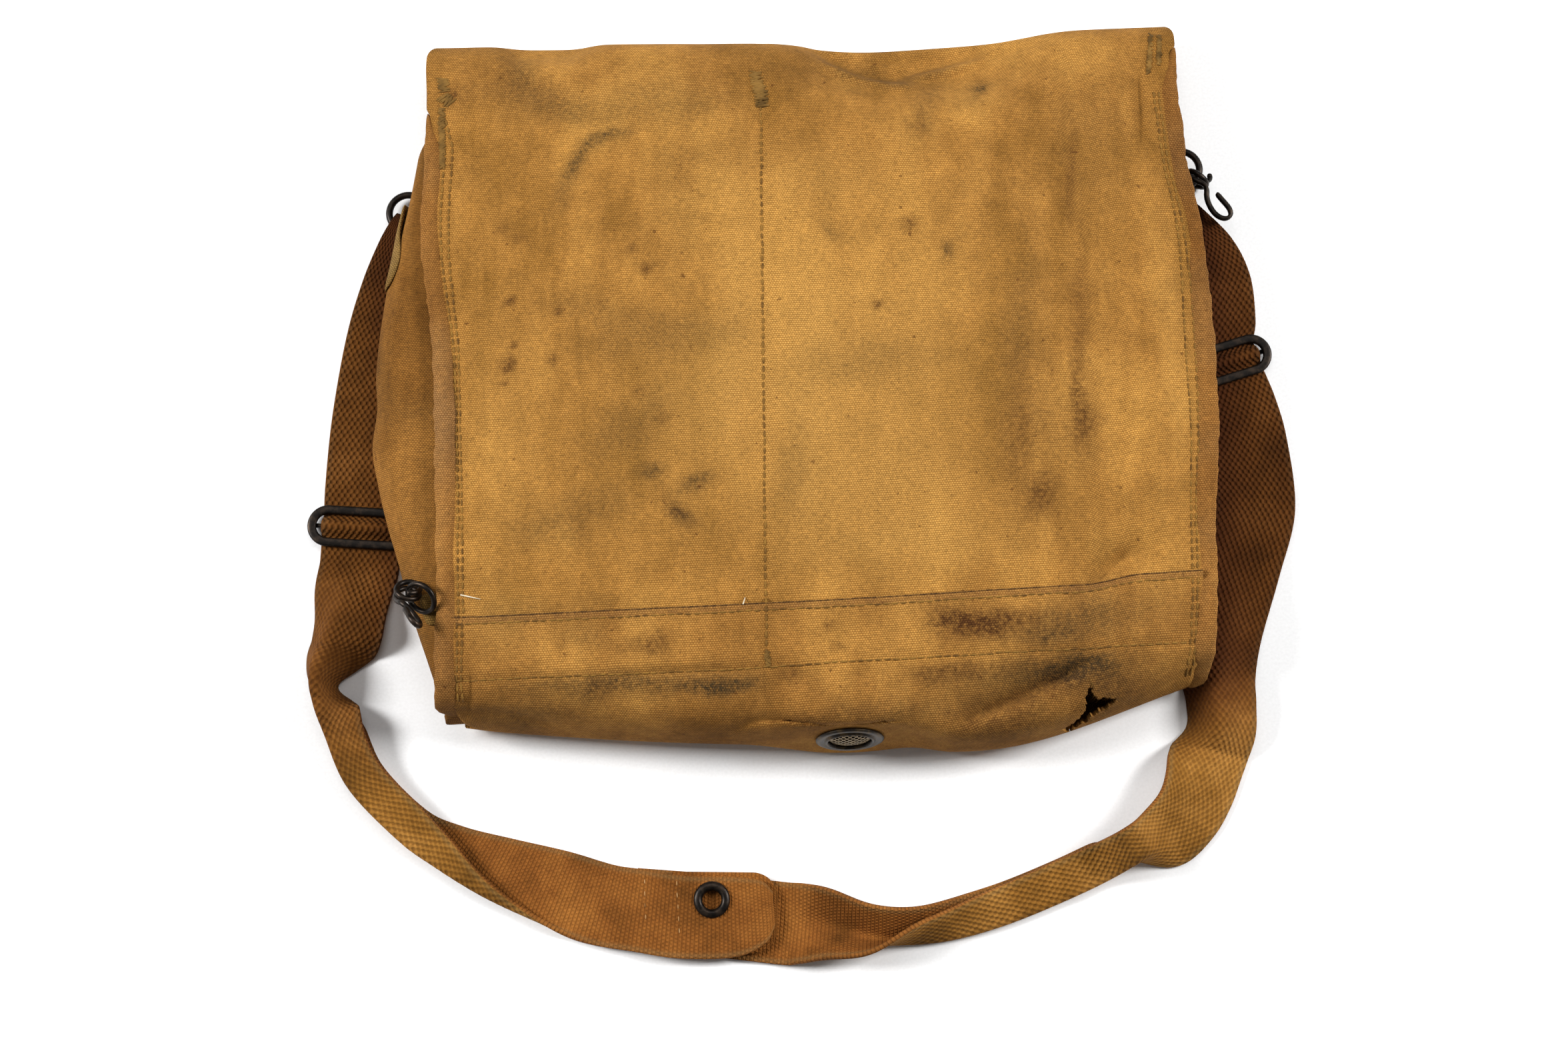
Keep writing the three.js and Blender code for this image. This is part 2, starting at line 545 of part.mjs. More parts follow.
const webShares = steps(0, 1, 6);
const rowSteps = (rows) => segmentSteps(rows.slice(1).map(() => 2));
const eyeletCut = new THREE.CylinderGeometry(EYELET.cut, EYELET.cut, 12, 20);
eyeletCut.rotateX(Math.PI / 2).translate(EYELET.x, EYELET.y, 8.2);
const strapLeft = wall(webSurface(STRAP_LEFT), webShares, rowSteps(STRAP_LEFT), WEB);
cloth('strap_left', cut(strapLeft, [eyeletCut]), COLOURS.web);
cloth('strap_right', wall(webSurface(STRAP_RIGHT), webShares, rowSteps(STRAP_RIGHT), WEB), COLOURS.web);

// Second ply of the sling's end tab, with a rounded end
const BACKING = {
  left: -50,
  right: -8.6,
  low: -171,
  high: -139.5,
  corner: 10,
  level: 2.15,
  thickness: 1.6,
  turn: -3,
};
function backingGeometry() {
  const { left, right, low, high, corner } = BACKING;
  const outline = new THREE.Shape();
  outline.moveTo(left, low);
  outline.lineTo(right - corner, low);
  outline.quadraticCurveTo(right, low, right, low + corner);
  outline.lineTo(right, high - corner);
  outline.quadraticCurveTo(right, high, right - corner, high);
  outline.lineTo(left, high);
  outline.closePath();
  const shaping = { depth: BACKING.thickness, bevelEnabled: false, curveSegments: 5 };
  const ply = new THREE.ExtrudeGeometry(outline, shaping);
  ply.translate(-EYELET.x, -EYELET.y, BACKING.level).rotateZ(radians(BACKING.turn));
  return ply.translate(EYELET.x, EYELET.y, 0);
}

const backingCut = eyeletCut.clone().translate(0, 0, -4);
cloth('tab_backing', cut(backingGeometry(), [backingCut]), COLOURS.web);

// Turned metal pieces, from closed profiles of (radius, height)
function turned(profile, segments) {
  const points = profile.map(([radius, height]) => new THREE.Vector2(radius, height));
  return bare(new THREE.LatheGeometry(points.concat(points[0].clone()), segments));
}

const TAB_TOP = 4.2 + WEB; // upper face of the tab
const eyelet = turned([
  [EYELET.bore, 2.2],
  [EYELET.barrel, 2.2],
  [EYELET.barrel, TAB_TOP + GAP],
  [EYELET.outer, TAB_TOP + GAP],
  [EYELET.outer - 0.2, TAB_TOP + 1.0],
  [EYELET.outer - 1.7, TAB_TOP + 1.7],
  [EYELET.bore + 0.9, TAB_TOP + 1.5],
  [EYELET.bore, TAB_TOP + 0.7],
], 18);
eyelet.rotateX(Math.PI / 2).translate(EYELET.x, EYELET.y, 0);
metal('tab_eyelet', eyelet, COLOURS.metal);

const flangeBase = CANVAS / 2 + GAP;
const flange = turned([
  [VENT.inner, -2.4],
  [VENT.cut - GAP, -2.4],
  [VENT.cut - GAP, flangeBase],
  [VENT.outer, flangeBase],
  [VENT.outer, flangeBase + 0.6],
  [VENT.outer - 1.8, flangeBase + 1.5],
  [VENT.inner + 1, flangeBase + 1.3],
  [VENT.inner, flangeBase + 0.5],
], 20);
metal('vent_flange', faceVent(flange), COLOURS.bronze);

// Domed disc pierced by rings of round holes
function meshGeometry() {
  const { radius, dome, wall: thick, rings, pitch, hole } = MESH;
  const disc = bare(new THREE.LatheGeometry([
    new THREE.Vector2(0, dome - thick),
    new THREE.Vector2(radius * 0.55, dome * 0.7 - thick),
    new THREE.Vector2(radius, -thick),
    new THREE.Vector2(radius, 0),
    new THREE.Vector2(radius * 0.55, dome * 0.7),
    new THREE.Vector2(0, dome),
  ], 18));
  const holes = [];
  for (let ring = 0; ring <= rings; ring += 1) {
    const count = Math.max(1, 6 * ring);
    for (let index = 0; index < count; index += 1) {
      const angle = (2 * Math.PI * index) / count;
      const drill = new THREE.CylinderGeometry(hole, hole, 8, 4);
      holes.push(drill.translate(ring * pitch * Math.cos(angle), 0, ring * pitch * Math.sin(angle)));
    }
  }
  return cut(disc, holes);
}

metal('vent_mesh', faceVent(meshGeometry()), COLOURS.bronze);

// Round wire rings
function ring(size) {
  return bare(new THREE.TorusGeometry(size.radius, size.wire, 6, 18));
}

const LEFT_RING = new THREE.Vector3(-150, 136.5, 4.6);
const RIGHT_RING = new THREE.Vector3(170, 141, 6);
metal('left_strap_ring', ring(STRAP_RING), COLOURS.metal).position.copy(LEFT_RING);
metal('right_strap_ring', ring(STRAP_RING), COLOURS.metal).position.copy(RIGHT_RING);

// Oval slide with a centre bar that sits lower than its frame
function slideGeometry() {
  const { length, height, bar, thickness, centreBar, level, centreLevel } = SLIDE;
  const frame = bare(new THREE.TorusGeometry(height / 2 - bar, bar, 5, 18));
  const place = frame.getAttribute('position');
  const half = (length - height) / 2;
  for (let index = 0; index < place.count; index += 1) {
    place.setX(index, place.getX(index) + Math.sign(place.getX(index)) * half);
    place.setZ(index, (place.getZ(index) * thickness) / (2 * bar));
  }
  const rod = new THREE.CylinderGeometry(centreBar, centreBar, length - 2 * bar, 6).rotateZ(Math.PI / 2);
  rod.translate(0, 0, centreLevel - level);
  return toGeometry(toSolid(frame).add(toSolid(rod)));
}

function slide(name, x, y, turn) {
  const mesh = metal(name, slideGeometry(), COLOURS.metal);
  mesh.position.set(x, y, SLIDE.level);
  mesh.rotation.z = radians(turn);
}

slide('left_slide', -170.5, 4.4, -6);
slide('right_slide', 180.3, 57.7, 15);

function wire(points, radius, count, sides) {
  const path = new THREE.CatmullRomCurve3(points, false, 'centripetal');
  const section = new THREE.Shape();
  section.absarc(0, 0, radius, 0, 2 * Math.PI);
  const shaping = { steps: count, extrudePath: path, curveSegments: sides, bevelEnabled: false };
  return bare(new THREE.ExtrudeGeometry(section, shaping));
}

// Wire hook: a coiled eye, a shank and a bend whose tip turns back; (along, side) from the eye's centre
const HOOK_BEND = [
  { along: 5.5, side: 1.6 },
  { along: 9, side: 0 },
  { along: 13.4, side: -0.3 },
  { along: 18, side: 0.8 },
  { along: 21.2, side: 3.6 },
  { along: 21.2, side: 6.6 },
  { along: 18, side: 7.4 },
  { along: 13.8, side: 5.8 },
  { along: 9.6, side: 4.2 },
];
function hookGeometry({ eye, axis, along, side, reach }) {
  const out = along.clone().addScaledVector(axis, -along.dot(axis)).normalize();
  const up = axis.clone().cross(out).negate();
  const points = [];
  const coils = Math.round(HOOK.turns * 8);
  for (let index = 0; index <= coils; index += 1) {
    const left = (coils - index) / 8;
    const angle = -Math.PI / 2 - left * 2 * Math.PI;
    const point = eye.clone().addScaledVector(axis, (HOOK.turns / 2 - left) * -HOOK.pitch);
    point.addScaledVector(out, HOOK.eye * Math.cos(angle));
    point.addScaledVector(up, -HOOK.eye * Math.sin(angle));
    points.push(point);
  }
  for (const spot of HOOK_BEND) {
    const point = eye.clone().addScaledVector(along, spot.along * reach).addScaledVector(side, spot.side);
    points.push(point.addScaledVector(up, HOOK.eye));
  }
  return wire(points, HOOK.wire, 33, 3);
}

const eyeTurn = radians(-33);
const rightEye = RIGHT_RING.clone();
rightEye.x += STRAP_RING.radius * Math.cos(eyeTurn);
rightEye.y += STRAP_RING.radius * Math.sin(eyeTurn);
metal('right_hook', hookGeometry({
  eye: rightEye,
  axis: new THREE.Vector3(-Math.sin(eyeTurn), Math.cos(eyeTurn), 0),
  along: new THREE.Vector3(0.25, -0.968, 0),
  side: new THREE.Vector3(0.968, 0.25, 0),
  reach: 1,
}), COLOURS.metal);

// A place on the outer face of a gusset, raised from the middle of its canvas
function gussetSeat(surface, across, y, height) {
  const reach = 0.01;
  const sideways = surface(across + reach, y).sub(surface(across - reach, y)).normalize();
  const upward = surface(across, y + reach).sub(surface(across, y - reach)).normalize();
  const normal = upward.clone().cross(sideways).normalize();
  return { point: surface(across, y).addScaledVector(normal, height), sideways, upward, normal };
}

// The lower hook: its ring leans on the left gusset beside the welt, and the eye turns round the ring's
// outer end
const hookSeat = gussetSeat(leftGusset, 0.275, -31.5, SMALL_RING.height);
const ringAlong = hookSeat.upward.clone().multiplyScalar(-0.5);
ringAlong.addScaledVector(hookSeat.sideways, -0.87).normalize();
const ringLean = radians(SMALL_RING.lean);
const ringUp = hookSeat.normal.clone().multiplyScalar(Math.sin(ringLean));
ringUp.addScaledVector(hookSeat.normal.clone().cross(ringAlong), Math.cos(ringLean)).normalize();
const lowerRing = metal('lower_left_ring', ring(SMALL_RING), COLOURS.metal);
lowerRing.position.copy(hookSeat.point);
const ringAxis = ringAlong.clone().cross(ringUp);
lowerRing.setRotationFromMatrix(new THREE.Matrix4().makeBasis(ringAlong, ringUp, ringAxis));
const leftEye = hookSeat.point.clone().addScaledVector(ringAlong, -SMALL_RING.radius);
const leftAlong = hookSeat.upward.clone().multiplyScalar(-0.8).addScaledVector(hookSeat.sideways, -0.6);
leftAlong.addScaledVector(hookSeat.normal, 0.12).normalize();
const leftSide = hookSeat.normal.clone();
leftSide.addScaledVector(leftAlong, -leftSide.dot(leftAlong)).normalize();
metal('lower_left_hook', hookGeometry({
  eye: leftEye,
  axis: ringUp,
  along: leftAlong,
  side: leftSide,
  reach: 0.86,
}), COLOURS.metal);

// Canvas tabs that lie on the gussets and hold the rings
function patchSurface(surface, rows) {
  const rowAt = curves(rows, 'y');
  return (share, y) => {
    const at = rowAt(y);
    return gussetSeat(surface, mix(at.from, at.to, clamp(share, 0, 1)), y, at.height).point;
  };
}

const LEFT_CHAPE = [
  { y: 98, from: 0.42, to: 0.6, height: 2.6 },
  { y: 110, from: 0.34, to: 0.62, height: 2.6 },
  { y: 122, from: 0.42, to: 0.58, height: 2.8 },
  { y: 136, from: 0.44, to: 0.66, height: 2.8 },
];
const leftChape = wall(patchSurface(leftGusset, LEFT_CHAPE), steps(0, 1, 3), steps(136, 98, 5), CANVAS);
cloth('left_ring_chape', leftChape, COLOURS.gusset);

const LOWER_CHAPE = [
  { y: -42, from: 0.19, to: 0.3, height: STEP },
  { y: -29, from: 0.19, to: 0.32, height: STEP },
];
const lowerChape = wall(patchSurface(leftGusset, LOWER_CHAPE), steps(0, 1, 2), steps(-29, -42, 2), CANVAS);
cloth('lower_left_chape', lowerChape, COLOURS.gusset);

// The tab of the right ring comes out under the welt, turns through the ring and goes back
const RIGHT_CHAPE = { low: 141.5, high: 146.5 };
const CHAPE_ROUTE = [
  { x: 153, z: 12 },
  { x: 158, z: 11.5 },
  { x: 164.5, z: 9.6 },
  { x: 170.4, z: 6 },
  { x: 164.5, z: 2.8 },
  { x: 158, z: 3.4 },
];
const chapeTurns = CHAPE_ROUTE.map(({ x, z }) => new THREE.Vector3(x, 0, z));
const chapeRoute = new THREE.CatmullRomCurve3(chapeTurns, false, 'centripetal');
function rightChape(share, along) {
  const point = chapeRoute.getPoint(clamp(along, 0, 1));
  point.y = mix(RIGHT_CHAPE.low, RIGHT_CHAPE.high, share);
  return point;
}
cloth('right_ring_chape', wall(rightChape, steps(0, 1, 1), steps(0, 1, 14), CANVAS), COLOURS.gusset);

// The frame's origin: middle of the whole object in plan, on the surface that it lies on
const bounds = new THREE.Box3().setFromObject(bag);
const middle = bounds.getCenter(new THREE.Vector3());
bag.position.set(-middle.x, -middle.y, -bounds.min.z);

export default bag;
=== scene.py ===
"""Looks of a canvas gas mask bag that lies on its front, with its webbing sling laid round it.

Lengths are in millimetres where no other unit is named.
"""

import logging
import math
from contextlib import contextmanager
from dataclasses import dataclass, fields
from enum import Enum
from types import SimpleNamespace
from typing import Any, Callable, Iterator, Sequence

import bmesh
import bpy
import numpy as np
from mathutils import Matrix, Vector
from mathutils.bvhtree import BVHTree


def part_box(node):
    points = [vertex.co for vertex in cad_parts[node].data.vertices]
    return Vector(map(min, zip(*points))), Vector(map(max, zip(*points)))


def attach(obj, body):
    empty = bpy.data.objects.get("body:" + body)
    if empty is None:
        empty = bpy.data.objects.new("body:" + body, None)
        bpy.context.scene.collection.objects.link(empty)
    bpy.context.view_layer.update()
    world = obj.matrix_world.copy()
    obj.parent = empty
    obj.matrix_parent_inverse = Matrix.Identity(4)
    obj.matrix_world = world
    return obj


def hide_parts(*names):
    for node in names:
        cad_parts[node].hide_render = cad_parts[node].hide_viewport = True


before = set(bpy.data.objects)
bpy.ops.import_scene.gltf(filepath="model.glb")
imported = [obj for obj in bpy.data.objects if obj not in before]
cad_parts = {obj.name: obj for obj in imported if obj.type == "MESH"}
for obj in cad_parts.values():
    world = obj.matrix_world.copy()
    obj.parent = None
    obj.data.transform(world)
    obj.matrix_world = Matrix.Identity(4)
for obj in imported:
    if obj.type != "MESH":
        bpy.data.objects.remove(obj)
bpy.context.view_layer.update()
LOG = logging.getLogger("gas_mask_bag")
MM = 0.001  # the shapes below are drawn in millimetres
BODY = "root"
Array = np.ndarray
BMesh = bmesh.types.BMesh
Surface = Callable[[Array, Array], Array]


# Cloth sizes in millimetres, with -1 for the left side and 1 for the right
CANVAS = 1.6  # duck canvas wall
WEB = 1.8  # cotton webbing
WEB_WIDTH = 32.0
STEP = 1.9  # rise from one canvas layer to the next
LAP = 25.0  # overlap of the lower panel on the back panel
LAP_RISE = 2.6  # height of the lower panel over the back panel there
TUCK = 5.0  # how far the hidden edge of the back panel stops short of the second stitch row
FLAP_END = -46.0  # free edge of the flap, under the bag
MOUTH = 170.0  # free edge of the front panel, inside the flap
FRONT_INSET = 10.0  # the front panel is this much narrower at each side
FLAP_INSET = 6.0  # and the flap this much
GUSSET_TOP = 176.0  # upper end of the side walls
GUSSET_ENDS = {-1: 1.6, 1: 6.0}  # their lower ends above the bottom fold


def rows_of(kind: type, table: Sequence[tuple]) -> tuple:
    """Makes each row of a table an object of a class."""
    return tuple(kind(*row) for row in table)


@dataclass(frozen=True)
class Section:
    """A lengthwise section of the bag, from its left seam (-1) to its right seam (1)."""

    across: float
    lap_y: float
    top_y: float
    rim_y: float
    lap_z: float
    belly_z: float
    middle_z: float
    upper_z: float
    shoulder_z: float
    fold_z: float
    hip_z: float


SECTIONS = rows_of(Section, (
    (-1.0, -40, 205, -79, 35, 36, 33, 27, 22, 11, 30), (-0.5, -41, 202, -87, 43, 45, 42, 36, 29, 13, 39),
    (0.0, -41, 199, -92, 45, 47, 44, 39, 31, 14, 42), (0.5, -39, 200, -95.5, 42, 44, 41, 36, 28, 13, 39),
    (1.0, -36, 201, -74, 30, 31, 29, 26, 22, 11, 25),
))


@dataclass(frozen=True)
class EdgePoint:
    """A place on a side edge of the panels in plan."""

    y: float
    x: float


@dataclass(frozen=True)
class Level:
    """How far both gussets stand out at one level of the bag."""

    y: float
    left: float
    right: float


# The left side edge that the gussets' bulge is measured from
SEAMS = rows_of(EdgePoint, (
    (-96, -131.5), (-43, -128.5), (25, -122.5), (85, -127), (135, -133), (180, -137), (203, -139),
))


@dataclass(frozen=True)
class EdgeReading:
    """Where the outer edges of both rolled side seams show in the picture at one level of it."""

    v: float
    left: float
    right: float


EDGE_READINGS = rows_of(EdgeReading, (
    (40, 548, 1494), (90, 545.5, 1497), (125, 545.5, 1501), (160, 545, 1506), (200, 542, 1511.5),
    (248, 538, 1523), (297, 536, 1533.5), (340, 538.5, 1539), (383, 544, 1544), (440, 551, 1548.5),
    (500, 553.5, 1552), (560, 555, 1553.5), (640, 556, 1550.5), (720, 556.5, 1552), (790, 557, 1550.5),
    (860, 556.5, 1547), (960, 556, 1543),
))
EDGE_HEIGHTS_AT = (60, 130, 260, 440, 640, 800, 900)  # levels of the picture at which these heights hold
EDGE_HEIGHTS = {-1: (12, 22, 27, 33, 36, 35, 30), 1: (12, 22, 26, 29, 31, 30, 25)}
GUSSETS = rows_of(Level, (
    (-74, 4, -4), (-56, 11, -9), (-21, 25, -15), (24, 38.5, -17), (57, 36.5, -18), (99, 27, -19),
    (132, 15, -16), (176, 3, -5),
))


@dataclass(frozen=True)
class Dent:
    """A dent of the upper face: middle, direction in degrees, half sizes, depth and downward pull."""

    x: float
    y: float
    turn: float
    length: float
    width: float
    depth: float
    pull: float


DENTS = rows_of(Dent, (
    # scoop in the top edge
    (66, 192, 0, 46, 20, 10, 7),
    # dip at the top left
    (-90, 200, 0, 18, 10, 4, 2),
    # diagonal crease under the band
    (90, -78, 23, 26, 7, 5, 0),
    # crease above the band at the right
    (131, -28, 31, 15, 7, 4, 0),
))


@dataclass(frozen=True)
class Crease:
    """A fine crease of the cloth's skin, read off the picture: its ends, how far its middle bows up, its half
    width and its depth in mm. A ridge has a negative depth."""

    u0: float
    v0: float
    u1: float
    v1: float
    bow: float
    width: float
    depth: float


CREASES = rows_of(Crease, (
    # arc above the vent
    (923, 934, 1160, 909, 20, 1.7, 2.4), (923, 942, 1160, 920, 20, 2.6, -1.2),
    # long diagonal under the band
    (1215, 923, 1402, 838, -6, 2.6, 3.0), (1240, 926, 1400, 851, -6, 3.0, -1.4),
    # above the band at the right
    (1392, 748, 1440, 702, 2, 2.0, 2.2),
    # pleat under the top right corner
    (1450, 88, 1455, 192, 0, 1.6, 2.2), (1440, 88, 1444, 192, 0, 2.4, -1.2),
    # front edge of the scoop
    (1040, 76, 1176, 113, -14, 2.0, -4.6), (1030, 60, 1176, 98, -14, 3.0, 4.2),
    (1146, 104, 1272, 66, -8, 1.9, -4.0), (1150, 90, 1262, 56, -8, 2.8, 3.4),
    # lower panel, from its left corner to the vent
    (598, 850, 596, 918, 3, 1.3, 1.8), (608, 905, 720, 925, 4, 2.0, 1.2), (790, 862, 960, 858, 5, 2.2, 1.0),
    (1010, 850, 1060, 905, 4, 2.6, 0.9),
    # top left corner
    (700, 120, 640, 96, 6, 3.0, 1.2),
    # beside the left seam
    (585, 420, 590, 700, -4, 2.4, 0.9),
    # beside the right seam
    (1518, 330, 1524, 700, 3, 2.4, 0.8),
))
READ_SCALE = 3.19  # picture units to a millimetre on the bag


@dataclass(frozen=True)
class TearPoint:
    """A corner of the torn hole, read off the picture."""

    u: float
    v: float


TEAR_MIDDLE = (1388, 902)
TEAR_HALF = (46, 40)  # the canvas is drawn finer this far from there
TEAR_OUTLINE = rows_of(TearPoint, (
    (1390, 873), (1387, 883), (1384, 891), (1383, 902), (1381, 910), (1373, 917), (1364, 923), (1353, 930),
    (1358, 932), (1368, 928), (1378, 923), (1386, 920), (1391, 913), (1398, 908), (1408, 904), (1415, 898),
    (1423, 891), (1410, 889), (1398, 890), (1394, 884),
))


@dataclass(frozen=True)
class WeltPoint:
    """A turning point of the rolled seam's section: outwards from the panel's edge, up from its canvas."""

    out: float
    up: float


WELT_SECTIONS = {
    -1: rows_of(WeltPoint, (
        (-2.3, -0.1), (-0.8, 1.4), (1.2, 2.4), (3.2, 2.5), (4.9, 1.8), (5.9, 0.6), (5.4, -0.6), (3.6, -0.9),
        (1.0, -0.9), (-1.5, -0.7), (-2.3, -0.1),
    )),
    1: rows_of(WeltPoint, (
        (-3.0, -0.4), (-1.0, 0.9), (1.4, 1.7), (3.6, 1.8), (5.2, 1.2), (6.0, 0.1), (5.4, -0.9), (3.6, -1.2),
        (0.6, -1.2), (-2.2, -0.9), (-3.0, -0.4),
    )),
}
WELT_REACH = 5.9  # how far they stand out from the panel's edge
WELT_SLIM = 0.25  # share of that at their upper ends
WELT_TAPER = 20.0  # length over which they widen
WELT_ROUND = 3.2  # length of their rounded ends
WELT_TOPS = {-1: 172.0, 1: 188.0}  # upper ends of the rolled seams
WELT_ENDS = {-1: 2.8, 1: -1.6}  # lower ends of the rolled seams above the bottom fold
WELT_KNOBS = {-1: 0.22, 1: 0.0}  # how much they thicken at the lower end


@dataclass(frozen=True)
class WebRow:
    """A section along the sling. The web is creased lengthwise at (x, y): its first leaf is lead wide and
    lies at the angle first, its second leaf at the angle second, 0 to the left of the heading and 90 up."""

    x: float
    y: float
    heading: float
    lift: float = 0
    gather: float = 1
    lead: float = 16
    first: float = 180
    second: float = 0
    soft: float = 5


STRAP_LEFT = rows_of(WebRow, (
    (-157, 106, -106, 0.1, 0.75), (-154.5, 120, -110, 0.3, 0.45), (-153, 129.1, -112, 0.5, 0.28),
    (-150.9, 134.3, -112, 3.7, 0.26), (-153, 129.1, -112, 7, 0.3),
    (-154.5, 121, -110, 5.0, 0.5, 16, 181, -1), (-157, 104, -106, 2.8, 0.8, 16, 181, -1),
    (-161.5, 82, -103, 0.4, 0.95), (-166.5, 50, -97, 0.1), (-169.4, 22, -95, 0.1), (-170, 9.3, -96, 0.1),
    (-170.5, 4.4, -96, 4.2), (-171, -0.5, -96, 0.1), (-173, -12, -100, 0, 1, 15, 181, 0, 4),
    (-178, -24, -106, 0, 1, 13, 205, -4, 4), (-182, -36, -106, 0, 1, 11, 229, -5, 4),
    (-186, -50, -104, 0, 1, 12, 247, -53, 3.5), (-187.5, -60, -90, 0, 1, 14, 266, -74, 3),
    (-186.8, -69, -80, 0, 1, 15, 296, -46, 3), (-184.5, -79, -75, 0, 1, 16, 338, 8, 2.6),
    (-176, -100, -58, 0, 1, 16, 350, 13, 2.6), (-157, -121, -44, 0, 1, 16, 354, 15, 2.6),
    (-143, -132, -37, 0, 1, 19, 357, 18, 2.6), (-124, -144.5, -29, 0, 1, 25, 358, 30, 2.6),
    (-104, -154.5, -25, 0, 1, 29, 360, 60, 2.6), (-82, -163.5, -18, 0.3, 1, 30, 361, 172, 2),
    (-66, -167.5, -10, 2.4, 1, 30.5, 361, 180, 2), (-48, -171, -6, 4.2, 1, 30.5, 360, 180, 2),
    (-26, -171.5, 0, 4.2, 0.97, 30.5, 360, 180, 2), (-14, -167, 2, 4.2, 0.76, 30.5, 360, 180, 2),
    (-10, -161, 2, 4.2, 0.42, 30.5, 360, 180, 2),
))
STRAP_RIGHT = rows_of(WebRow, (
    (-65, -152.5, -7, 0, 1, 16, 360, 180, 6), (-36, -156, -7, 0, 1, 16, 360, 180, 6),
    (-8, -160.3, -6, 0, 1, 16, 360, 180, 6), (0, -161, -6, 0, 1, 16, 378, 162, 6),
    (11, -162, -6, 0, 1, 16, 398, 142), (27, -167.5, -4, 0, 1, 16, 405, 108, 4),
    (44, -169.5, 2, 0, 1, 16, 402, 66, 3), (60, -168.5, 9, 0, 1, 16, 388, 44, 2.6),
    (80, -164, 18, 0, 1, 16, 368, 24, 2.6), (104, -155.5, 22, 0, 1, 16, 358, 16, 2.6),
    (122, -148, 28, 0, 1, 16, 350, 22, 2.6), (134, -141.5, 36, 0, 1, 16, 272, 34, 3.5),
    (143, -134, 44, 0, 1, 16, 217, 40, 4), (152, -125, 54, 0, 1, 16, 206, 38, 4),
    (158, -116, 64, 0, 1, 16, 206, 26, 4), (162, -107, 70, 0, 1, 16, 206, 4, 4),
    (167, -94, 80, 0, 1, 16, 204, -46, 4), (167.5, -82, 86, 0, 1, 16, 198, -54, 4),
    (168, -70, 80, 0, 1, 16, 191, -40, 4), (173, -52, 72, 0, 1, 16, 186, -12, 4), (183, -25, 72),
    (190.5, -2, 82, 0.1), (189.5, 24, 96, 0.1), (186.4, 40, 102, 0.1), (182.8, 53.2, 105, 0.1, 0.96),
    (181.5, 58, 105, 4.2, 0.96), (180.2, 62.8, 105, 0.1, 0.96), (181, 74, 100, 0.1),
    (180.4, 92, 102, 1.2, 0.98), (177, 108, 104, 2.8, 0.78, 16, 181, -1),
    (170.5, 123, 96, 6, 0.42, 16, 181, -1), (165.4, 133.6, 62, 8.6, 0.22), (168, 138.8, 58, 5.1, 0.16),
    (165.4, 133.6, 62, 1.7, 0.22), (170.2, 122.5, 96, 1.2, 0.45), (176, 109, 104, 0.1, 0.72),
))

# The drawing's own origin lies under the middle of the picture: the left ring gives its place in the frame
LEFT_RING = np.array((-150.0, 136.5))
ORIGIN = np.mean(np.array(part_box("left_strap_ring")), axis=0)[:2] / MM - LEFT_RING


def smoothstep(value: Array, low: float, high: float) -> Array:
    """Rises from 0 at low to 1 at high with level ends."""
    share = np.clip((value - low) / (high - low), 0, 1)
    return share * share * (3 - 2 * share)


def placed(points: Array) -> Array:
    """Moves points of the drawing, in millimetres, to the frame, in metres.

    Args:
        points: Points with x, y and z in the last axis.

    Returns:
        The same points in the frame.
    """
    moved = np.array(points, float)
    moved[..., :2] += ORIGIN
    return moved * MM


def cloud(x: Array, y: Array, size: float, seed: int) -> Array:
    """Smooth random heights over a plane.

    Args:
        x: First coordinate.
        y: Second coordinate.
        size: Width of a bump.
        seed: Choice of the random heights.

    Returns:
        Heights from -1 to 1.
    """
    cells = 64  # the heights repeat after so many bumps
    table = np.random.default_rng(seed).uniform(-1, 1, (cells, cells))
    low_x, low_y = np.floor(x / size).astype(int), np.floor(y / size).astype(int)
    share_x = smoothstep(x / size - low_x, 0, 1)
    share_y = smoothstep(y / size - low_y, 0, 1)
    corner = {(i, j): table[(low_x + i) % cells, (low_y + j) % cells] for i in (0, 1) for j in (0, 1)}
    near, far = (corner[0, j] * (1 - share_x) + corner[1, j] * share_x for j in (0, 1))
    return near * (1 - share_y) + far * share_y


class SmoothTable:
    """Reads a table of rows as smooth curves over one of its columns."""

    def __init__(self, rows: Sequence[Any], key: str | None) -> None:
        """Keeps the columns.

        Args:
            rows: Dataclass rows, in rising order of the key.
            key: Name of the column to read by, or None for the row's number.
        """
        names = [column.name for column in fields(rows[0]) if column.name != key]
        self.at = np.arange(len(rows), dtype=float)
        if key:
            self.at = np.array([getattr(row, key) for row in rows], float)
        self.columns = {name: np.array([getattr(row, name) for row in rows], float) for name in names}

    def __call__(self, where: Any) -> SimpleNamespace:
        """Gives every column at the places asked for.

        Args:
            where: Values of the key column.

        Returns:
            The columns by name.
        """
        spot = np.clip(np.asarray(where, float), self.at[0], self.at[-1])
        high = np.clip(np.searchsorted(self.at, spot, side="right"), 1, len(self.at) - 1)
        low = high - 1
        start, end = self.at[low], self.at[high]
        first, last = low == 0, high == len(self.at) - 1
        before = np.where(first, high, low - 1)
        after = np.where(last, low, np.minimum(high + 1, len(self.at) - 1))
        half = (end - start) / 2
        ahead = half / (start - np.where(first, end, self.at[before]))
        behind = half / (np.where(last, start, self.at[after]) - end)
        p = (spot - start) / (end - start)
        weights = (
            -ahead * p**3 + 2 * ahead * p**2 - ahead * p,
            (1 + ahead) * p**3 + (-1.5 - 2 * ahead) * p**2 + (-0.5 + ahead) * p + 1,
            (-1 - behind) * p**3 + (1.5 + behind) * p**2 + 0.5 * p,
            behind * p**3 - behind * p**2,
        )
        rows = (before, low, high, after)
        return SimpleNamespace(**{
            name: sum(weight * column[row] for weight, row in zip(weights, rows))
            for name, column in self.columns.items()
        })


